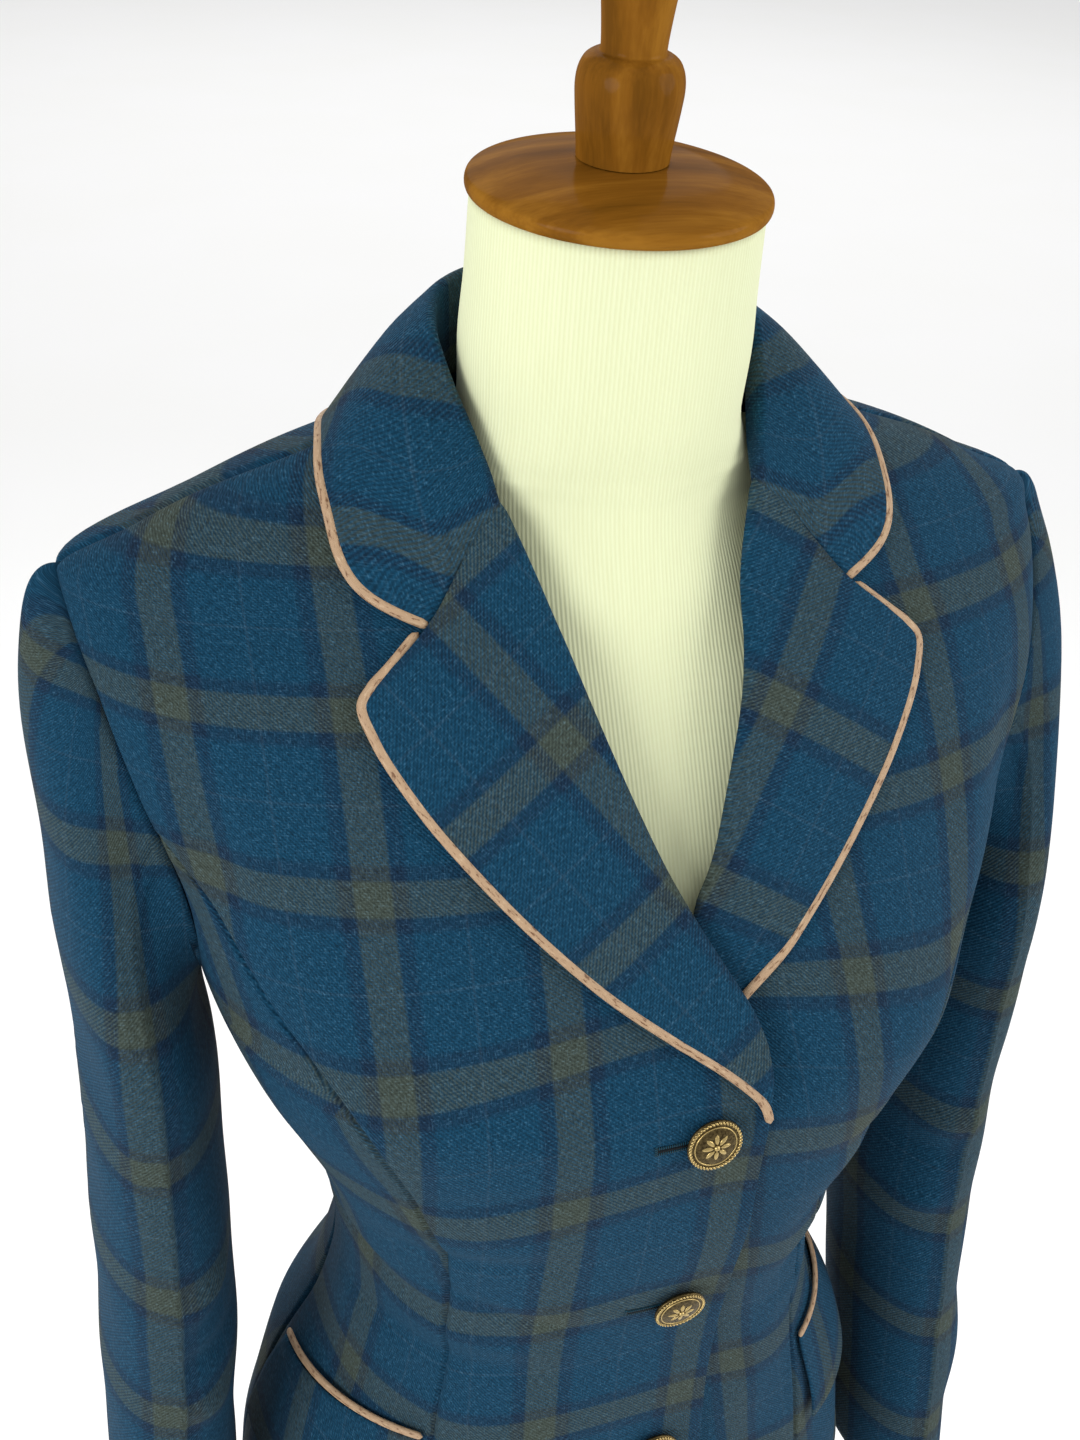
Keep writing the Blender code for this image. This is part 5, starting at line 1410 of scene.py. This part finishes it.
def lapel_piping_route(side):
    """A lapel's piped edge, from its lower end round the tip and back to the notch."""
    rows = [LapelRow(*row) for row in lapel_rows(side)]
    edge = [
        (row.edge_across, row.edge_drop) for row in rows
        if side == RIGHT or row.edge_across > LEFT_PIPING_START_ACROSS
    ]
    top = rows[-1]
    for across in np.linspace(edge[-1][0], PIPING_NOTCH_ACROSS, PIPING_NOTCH_POINTS)[1:]:
        share = (across - top.roll_across) / (top.edge_across - top.roll_across)
        bend = top.bend * np.interp(share, *NOTCH_BEND)
        edge.append((across, top.roll_drop + (top.edge_drop - top.roll_drop) * share + bend))
    edge = np.array(edge if side == LEFT else [*PIPING_HOOK, *edge])
    if side == RIGHT:
        last = PIPING_HOOK_POINTS
        for _ in range(PIPING_HOOK_PASSES):
            edge[1:last] = (edge[:last - 1] + edge[2:last + 1]) / 2
    point, out = coat_frame(turn_at(edge[:, 0], edge[:, 1]), edge[:, 1])
    height = np.full(len(edge), LAPEL_EDGE_LIFT)
    if side == LEFT:
        height = height + left_front_lift(edge[:, 0], edge[:, 1])
    return point + out * height[:, None] + beside(point, out) * PIPING_SNUG, out


def build_piping(trim, cork):
    """Cork piping round the lapels and the collar and over the pocket mouths."""
    mouth_start, mouth_end = FLAP_FRONT.turn - MOUTH_PAST_FRONT, FLAP_BACK.turn + MOUTH_PAST_BACK
    turn = np.linspace(mouth_start, mouth_end, MOUTH_POINTS)
    drop = np.linspace(FLAP_FRONT.top_drop, FLAP_BACK.top_drop, MOUTH_POINTS) - MOUTH_RISE
    mouth, mouth_out = coat_frame(turn, drop)
    mouth = mouth + mouth_out * (MOUTH_LIFT - SEAM_GAP)
    routes = {}
    for side, word in SIDES:
        point, out = lapel_piping_route(side)
        routes[f"lapel_piping_{word}"] = (on_side(point, side), on_side(out, side))
        routes[f"pocket_piping_{word}"] = (on_side(mouth, side), on_side(mouth_out, side))
    _, _, edge, out = collar_half()
    routes["collar_piping"] = (both_halves(edge + beside(edge, out) * PIPING_SNUG), both_halves(out))
    for node, (route, out) in routes.items():
        line, way = closer(route, out, PIPING_SPACING)
        parts = cord_parts(line, way, trim.piping_width, trim.piping_height, PIPING_TAPER)
        add_piece(grained_mesh(f"{node}_cork", *parts), cork, "cork_piping", node)


def clear_selection():
    """Leaves edit mode and deselects everything."""
    if bpy.context.object and bpy.context.object.mode != "OBJECT":
        bpy.ops.object.mode_set(mode="OBJECT")
    bpy.ops.object.select_all(action="DESELECT")


def turned_piece(name, profile, segments):
    """A solid turned on the Z axis: a disc drawn up and resized from one profile point to the next."""
    clear_selection()
    radius, height = profile[0]
    bpy.ops.mesh.primitive_circle_add(
        vertices=segments, radius=radius, fill_type="NGON", location=(0, 0, height))
    piece = bpy.context.object
    piece.name = piece.data.name = name
    bpy.ops.object.transform_apply(location=True, rotation=True, scale=True)
    bpy.ops.object.mode_set(mode="EDIT")
    bpy.ops.mesh.select_mode(type="FACE")
    bpy.ops.mesh.select_all(action="SELECT")
    for (wide, low), (next_wide, next_low) in zip(profile, profile[1:]):
        bpy.ops.mesh.extrude_region_move(TRANSFORM_OT_translate={"value": (0, 0, next_low - low)})
        grow = next_wide / wide
        bpy.ops.transform.resize(value=(grow, grow, 1.0), center_override=(0, 0, next_low))
    bpy.ops.mesh.select_all(action="SELECT")
    bpy.ops.mesh.normals_make_consistent(inside=False)
    bpy.ops.object.mode_set(mode="OBJECT")
    bpy.ops.object.shade_smooth_by_angle(angle=math.radians(TURNED_SMOOTH_ANGLE))
    return piece


def fine_profile(profile, count):
    """More points along a turned profile, on a smooth line through it."""
    line = smooth_lines(np.array([[(r, h, 0.0) for r, h in profile]]), count)[0]
    return [(float(r), float(h)) for r, h, _ in line]


def button_bead():
    """One strand of the roped rim: a ball drawn out along the rope's twist."""
    clear_selection()
    bpy.ops.mesh.primitive_uv_sphere_add(segments=BEAD_SEGMENTS, ring_count=BEAD_RINGS, radius=BEAD_RADIUS)
    bpy.ops.transform.resize(value=BEAD_STRETCH, center_override=(0, 0, 0))
    bpy.ops.object.transform_apply(location=True, rotation=True, scale=True)
    return bpy.context.object


def button_leaf():
    """One leaf of the rosette: a ball drawn out flat, with its ends pinched to points."""
    clear_selection()
    bpy.ops.mesh.primitive_uv_sphere_add(segments=LEAF_SEGMENTS, ring_count=LEAF_RINGS, radius=LEAF_RADIUS)
    bpy.ops.transform.resize(value=LEAF_STRETCH, center_override=(0, 0, 0))
    bpy.ops.object.transform_apply(location=True, rotation=True, scale=True)
    leaf = bpy.context.object
    bpy.ops.object.mode_set(mode="EDIT")
    bpy.ops.mesh.select_mode(type="VERT")
    bpy.ops.mesh.select_all(action="DESELECT")
    bpy.ops.object.mode_set(mode="OBJECT")
    for vertex in leaf.data.vertices:
        vertex.select = abs(vertex.co.x) > LEAF_POINT_FROM
    bpy.ops.object.mode_set(mode="EDIT")
    bpy.ops.transform.resize(value=LEAF_POINT_DRAW, center_override=(0, 0, 0))
    bpy.ops.object.mode_set(mode="OBJECT")
    return leaf


def copies_round(model, count, radius, height, pitch, twist):
    """Copies of a small piece round the button's middle, each with its own mesh."""
    copies = []
    for angle in np.arange(count) * 2 * math.pi / count:
        copy = model.copy()
        copy.data = model.data.copy()
        copy.rotation_euler = (0, math.radians(pitch), angle + math.radians(twist))
        copy.location = (radius * math.cos(angle), radius * math.sin(angle), height)
        bpy.context.scene.collection.objects.link(copy)
        copies.append(copy)
    bpy.data.objects.remove(model)
    return copies


def button_model():
    """One shank button: a dome with a roped rim, a raised ring and a leaf rosette in the middle."""
    dome = turned_piece("button_blank", fine_profile(BUTTON_PROFILE, BUTTON_POINTS), BUTTON_SEGMENTS)
    raised = copies_round(button_bead(), ROPE_STRANDS, ROPE_RADIUS, ROPE_HEIGHT, 0.0, ROPE_TWIST)
    raised += copies_round(button_leaf(), LEAVES, ROSETTE_RADIUS, ROSETTE_HEIGHT, LEAF_PITCH, 0.0)
    clear_selection()
    bpy.ops.mesh.primitive_torus_add(
        major_segments=RING_SEGMENTS, minor_segments=RING_SIDES, major_radius=RING_RADIUS,
        minor_radius=RING_THICKNESS, location=(0, 0, RING_HEIGHT))
    raised.append(bpy.context.object)
    clear_selection()
    bpy.ops.mesh.primitive_uv_sphere_add(
        segments=EYE_SEGMENTS, ring_count=EYE_RINGS, radius=ROSETTE_EYE,
        location=(0, 0, ROSETTE_EYE_HEIGHT))
    raised.append(bpy.context.object)
    clear_selection()
    for part in (dome, *raised):
        relief = BRASS_FIELD if part is dome else BRASS_RAISED
        values = np.full(len(part.data.vertices), relief, np.float32)
        part.data.attributes.new("relief", "FLOAT", "POINT").data.foreach_set("value", values)
        part.select_set(True)
    bpy.context.view_layer.objects.active = dome
    bpy.ops.object.transform_apply(location=True, rotation=True, scale=True)
    bpy.ops.object.join()
    bpy.ops.object.shade_smooth_by_angle(angle=math.radians(BUTTON_SMOOTH_ANGLE))
    return bpy.context.object


def front_place(across, drop):
    """A place on the right front with Z out of the cloth and X level, as a matrix."""
    drop = np.array(drop)
    point, out = coat_frame(turn_at(-across, drop), drop)
    point, out = on_side(point, RIGHT), on_side(out, RIGHT)
    level = unit(np.cross(np.array([0, 0, 1.0]), out))
    place = Matrix.Identity(4)
    for k, column in enumerate((level, np.cross(out, level), out, point)):
        place.col[k][:3] = [float(v) for v in column]
    return place


def build_buttons(brass):
    """Three shank buttons on the right front."""
    model = button_model()
    for number, drop in enumerate(BUTTON_DROPS, 1):
        mesh = model.data.copy()
        mesh.name = f"button_{number}_brass"
        mesh.transform(front_place(BUTTON_LINE, drop))
        add_piece(mesh, brass, "antique_brass", f"button_{number}")
    bpy.data.objects.remove(model)


def build_buttonholes(trim, thread):
    """Worked buttonholes: two rows of stitches along a slit, and a bar across its end; the slit is a cord in
    the thread's painted shade, standing for the shadow in the opening.
    """
    in_shade = 0.75 * trim.stitch  # the place along a stitch where its wave is darkest
    length = np.linspace(HOLE_START, HOLE_END, HOLE_ROW_POINTS)
    bar = np.linspace(-HOLE_BAR_HALF, HOLE_BAR_HALF, HOLE_BAR_POINTS)
    rows = (
        (length, np.full(HOLE_ROW_POINTS, -HOLE_HALF), HOLE_ROW_WIDTH),
        (length, np.full(HOLE_ROW_POINTS, HOLE_HALF), HOLE_ROW_WIDTH),
        (np.full(HOLE_BAR_POINTS, HOLE_START), bar, HOLE_BAR_WIDTH),
        (length, np.zeros(HOLE_ROW_POINTS), HOLE_SLIT_WIDTH),
    )
    for number, drop in enumerate(BUTTON_DROPS, 1):
        points, faces, grain = [], [], []
        for across, off, width in rows:
            level = drop + off
            point, out = coat_frame(turn_at(-across, level), level)
            height = crease_height(-across, level, BODY_CREASES[RIGHT]) + HOLE_LIFT
            route, out = on_side(point + out * height[:, None], RIGHT), on_side(out, RIGHT)
            row_points, row_faces, row_grain = cord_parts(route, out, width, HOLE_ROW_HEIGHT, width / 2)
            # The slit takes the darkest place of the stitch wave all along: a dark cord of painted shade
            # standing for the shadow inside the opening.
            if width == HOLE_SLIT_WIDTH:
                row_grain[:, 0] = in_shade
            base = sum(len(part) for part in points)
            faces += [[base + k for k in face] for face in row_faces]
            points.append(row_points)
            grain.append(row_grain)
        mesh = grained_mesh(f"buttonhole_{number}", np.concatenate(points), faces, np.concatenate(grain))
        add_piece(mesh, thread, "plaid_wool")


def build_form_cover(jersey):
    """The form's torso and neck in ribbed jersey."""
    turns = np.linspace(-CENTRE_BACK_TURN, CENTRE_BACK_TURN, FORM_TURNS + 1)
    turn, drop = np.meshgrid(turns, spaced_rows(FORM_STRETCHES))
    sheet = section_point(FORM_COLUMNS, turn, drop)
    fade = smooth_step(*NECK_BEND, -drop)
    sheet[..., 2] += math.tan(math.radians(NECK_TILT)) * fade * (sheet[..., 1] - FORM_SECTIONS[0].side_y)
    grain = np.stack([arc_at(FORM_COLUMNS, turn, drop), drop], -1)
    index = np.arange(len(drop) * FORM_TURNS).reshape(-1, FORM_TURNS)
    after = np.roll(index, -1, axis=1)
    faces = np.stack([index[:-1], index[1:], after[1:], after[:-1]], -1).reshape(-1, 4).tolist()
    faces += [index[0].tolist(), index[-1, ::-1].tolist()]
    mesh = grained_mesh("form_cover", sheet[:, :-1].reshape(-1, 3), faces, grain[:, :-1].reshape(-1, 2))
    piece = add_piece(mesh, jersey, "cream_jersey", "form_torso")


def build_stand(form):
    """The turned neck cap and finial, and the pole and base below."""
    lean = math.radians(NECK_TILT)
    top = FORM_SECTIONS[0]
    neck_top = Vector((0.0, top.side_y, LEVEL_LINE_HEIGHT - top.drop))
    tilt = Matrix.Translation(neck_top) @ Matrix.Rotation(lean, 4, "X")
    cap_place = tilt @ Matrix.Translation((0, 0, SEAM_GAP))
    finial_place = tilt @ Matrix.Translation((0, 0, CAP_CROWN + 2 * SEAM_GAP))
    upright = Matrix.Identity(4)
    cap = fine_profile(CAP_PROFILE, CAP_POINTS)
    finial = fine_profile(FINIAL_PROFILE, FINIAL_POINTS)
    base = fine_profile(BASE_PROFILE, BASE_POINTS)
    foot, head = BASE_THICKNESS + SEAM_GAP, LEVEL_LINE_HEIGHT - FORM_SECTIONS[-1].drop - SEAM_GAP
    pole = [(POLE_RADIUS * wide, foot + high) for wide, high in POLE_COLLAR]
    pole += [(POLE_RADIUS, (foot + head) / 2), (POLE_RADIUS, head)]
    turned = (
        ("neck_cap", "stained_wood_cap", cap, CAP_SEGMENTS, cap_place, lean, LEVEL_GRAIN),
        ("finial", "stained_wood_finial", finial, FINIAL_SEGMENTS, finial_place, lean, UP_GRAIN),
        ("pole", "stained_wood_pole", pole, POLE_SEGMENTS, upright, 0.0, UP_GRAIN),
        ("base", "stained_wood_base", base, BASE_SEGMENTS, upright, 0.0, LEVEL_GRAIN),
    )
    for node, wood, profile, segments, place, grain_lean, grain in turned:
        blank = turned_piece(f"{node}_wood", profile, segments)
        mesh = blank.data
        mesh.transform(place)
        bpy.data.objects.remove(blank)
        add_piece(mesh, stained_wood(form, wood, grain_lean, grain), "stained_wood", node)


def build_stage(stage):
    """A pale floor, soft lights and the camera."""
    scene = bpy.context.scene
    clear_selection()
    bpy.ops.mesh.primitive_plane_add(size=FLOOR_SIZE)
    floor = bpy.context.object
    floor.name = "floor"
    floor.data.materials.append(floor_paper(stage))
    for name, place, size, light, share in LAMPS:
        lamp = bpy.data.lights.new(name, "AREA")
        lamp.shape, lamp.size, lamp.energy = "DISK", size, share * getattr(stage, light)
        holder = bpy.data.objects.new(name, lamp)
        holder.location = place
        holder.visible_camera = False
        if light != "wash":
            aim = Vector(LIGHT_AIM) - Vector(place)
            holder.rotation_euler = aim.to_track_quat("-Z", "Y").to_euler()
        scene.collection.objects.link(holder)
    world = bpy.data.worlds.new("studio")
    world.use_nodes = True
    set_inputs(world.node_tree.nodes["Background"], {"Color": WHITE, "Strength": stage.sky})
    scene.world = world
    scene.view_settings.view_transform = "Standard"
    flat = math.cos(stage.tilt)
    ahead = Vector((math.sin(stage.heading) * flat, math.cos(stage.heading) * flat, -math.sin(stage.tilt)))
    level = Vector((math.cos(stage.heading), -math.sin(stage.heading), 0.0))
    up = level.cross(ahead)
    right_way = level * math.cos(stage.roll) + up * math.sin(stage.roll)
    up_way = up * math.cos(stage.roll) - level * math.sin(stage.roll)
    camera = bpy.data.objects.new("camera", bpy.data.cameras.new("camera"))
    camera.data.sensor_width = PICTURE_SIDE_MM
    camera.data.lens = stage.lens
    stand = Matrix.Identity(4)
    for k, column in enumerate((right_way, up_way, -ahead, Vector(stage.camera))):
        stand.col[k][:3] = column
    camera.matrix_world = stand
    scene.collection.objects.link(camera)
    scene.camera = camera


class HUNTCOAT_OT_body(bpy.types.Operator):
    """Build the fronts, side fronts and backs"""

    bl_idname = "huntcoat.body"
    bl_label = "Body"

    def execute(self, context):
        cloth = context.scene.hunt_coat_cloth
        build_body(cloth, made_once(plaid_wool, cloth))
        return {"FINISHED"}


class HUNTCOAT_OT_lapels(bpy.types.Operator):
    """Build the turned back lapels"""

    bl_idname = "huntcoat.lapels"
    bl_label = "Lapels"

    def execute(self, context):
        cloth = context.scene.hunt_coat_cloth
        build_lapels(cloth, made_once(plaid_wool, cloth))
        return {"FINISHED"}


class HUNTCOAT_OT_collar(bpy.types.Operator):
    """Build the collar"""

    bl_idname = "huntcoat.collar"
    bl_label = "Collar"

    def execute(self, context):
        cloth = context.scene.hunt_coat_cloth
        build_collar(cloth, made_once(plaid_wool, cloth))
        return {"FINISHED"}


class HUNTCOAT_OT_sleeves(bpy.types.Operator):
    """Build the upper and under sleeves"""

    bl_idname = "huntcoat.sleeves"
    bl_label = "Sleeves"

    def execute(self, context):
        cloth = context.scene.hunt_coat_cloth
        build_sleeves(cloth, made_once(plaid_wool, cloth))
        return {"FINISHED"}


class HUNTCOAT_OT_pockets(bpy.types.Operator):
    """Build the pocket flaps"""

    bl_idname = "huntcoat.pockets"
    bl_label = "Pocket flaps"

    def execute(self, context):
        cloth = context.scene.hunt_coat_cloth
        build_pockets(cloth, made_once(plaid_wool, cloth))
        return {"FINISHED"}


class HUNTCOAT_OT_piping(bpy.types.Operator):
    """Build the cork piping"""

    bl_idname = "huntcoat.piping"
    bl_label = "Piping"

    def execute(self, context):
        trim = context.scene.hunt_coat_trim
        build_piping(trim, made_once(cork_piping, trim))
        return {"FINISHED"}


class HUNTCOAT_OT_buttons(bpy.types.Operator):
    """Build the brass buttons"""

    bl_idname = "huntcoat.buttons"
    bl_label = "Buttons"

    def execute(self, context):
        trim = context.scene.hunt_coat_trim
        build_buttons(made_once(antique_brass, trim))
        return {"FINISHED"}


class HUNTCOAT_OT_buttonholes(bpy.types.Operator):
    """Build the worked buttonholes"""

    bl_idname = "huntcoat.buttonholes"
    bl_label = "Buttonholes"

    def execute(self, context):
        trim = context.scene.hunt_coat_trim
        build_buttonholes(trim, made_once(buttonhole_thread, trim))
        return {"FINISHED"}


class HUNTCOAT_OT_form_cover(bpy.types.Operator):
    """Build the dress form's jersey cover"""

    bl_idname = "huntcoat.form_cover"
    bl_label = "Form cover"

    def execute(self, context):
        form = context.scene.hunt_coat_form
        build_form_cover(made_once(cream_jersey, form))
        return {"FINISHED"}


class HUNTCOAT_OT_stand(bpy.types.Operator):
    """Build the turned wood: neck cap, finial, pole and base"""

    bl_idname = "huntcoat.stand"
    bl_label = "Turned wood"

    def execute(self, context):
        build_stand(context.scene.hunt_coat_form)
        return {"FINISHED"}


class HUNTCOAT_OT_stage(bpy.types.Operator):
    """Build the floor, the lights and the camera"""

    bl_idname = "huntcoat.stage"
    bl_label = "Stage"

    def execute(self, context):
        build_stage(context.scene.hunt_coat_stage)
        return {"FINISHED"}


class HUNTCOAT_PT_pieces(bpy.types.Panel):
    """Lists the pieces of the coat and its form"""

    bl_idname = "HUNTCOAT_PT_pieces"
    bl_label = "Hunt coat"
    bl_space_type = "VIEW_3D"
    bl_region_type = "UI"
    bl_category = "Hunt coat"

    def draw(self, context):
        for operator in OPERATORS:
            self.layout.operator(operator.bl_idname)


OPERATORS = (
    HUNTCOAT_OT_form_cover, HUNTCOAT_OT_stand, HUNTCOAT_OT_body, HUNTCOAT_OT_lapels, HUNTCOAT_OT_collar,
    HUNTCOAT_OT_sleeves, HUNTCOAT_OT_pockets, HUNTCOAT_OT_piping, HUNTCOAT_OT_buttons,
    HUNTCOAT_OT_buttonholes, HUNTCOAT_OT_stage,
)
GROUPS = {
    "hunt_coat_cloth": HuntCoatCloth, "hunt_coat_trim": HuntCoatTrim,
    "hunt_coat_form": HuntCoatForm, "hunt_coat_stage": HuntCoatStage,
}
CLASSES = (*GROUPS.values(), *OPERATORS, HUNTCOAT_PT_pieces)


def register():
    """Registers the classes and the scene's settings."""
    for entry in CLASSES:
        bpy.utils.register_class(entry)
    for name, group in GROUPS.items():
        setattr(bpy.types.Scene, name, bpy.props.PointerProperty(type=group))


def unregister():
    """Removes the settings and the classes."""
    for name in GROUPS:
        delattr(bpy.types.Scene, name)
    for entry in reversed(CLASSES):
        bpy.utils.unregister_class(entry)


def main():
    """Builds every piece and the stage."""
    register()
    bpy.ops.huntcoat.form_cover()
    bpy.ops.huntcoat.stand()
    bpy.ops.huntcoat.body()
    bpy.ops.huntcoat.lapels()
    bpy.ops.huntcoat.collar()
    bpy.ops.huntcoat.sleeves()
    bpy.ops.huntcoat.pockets()
    bpy.ops.huntcoat.piping()
    bpy.ops.huntcoat.buttons()
    bpy.ops.huntcoat.buttonholes()
    bpy.ops.huntcoat.stage()


if __name__ == "__main__":
    main()
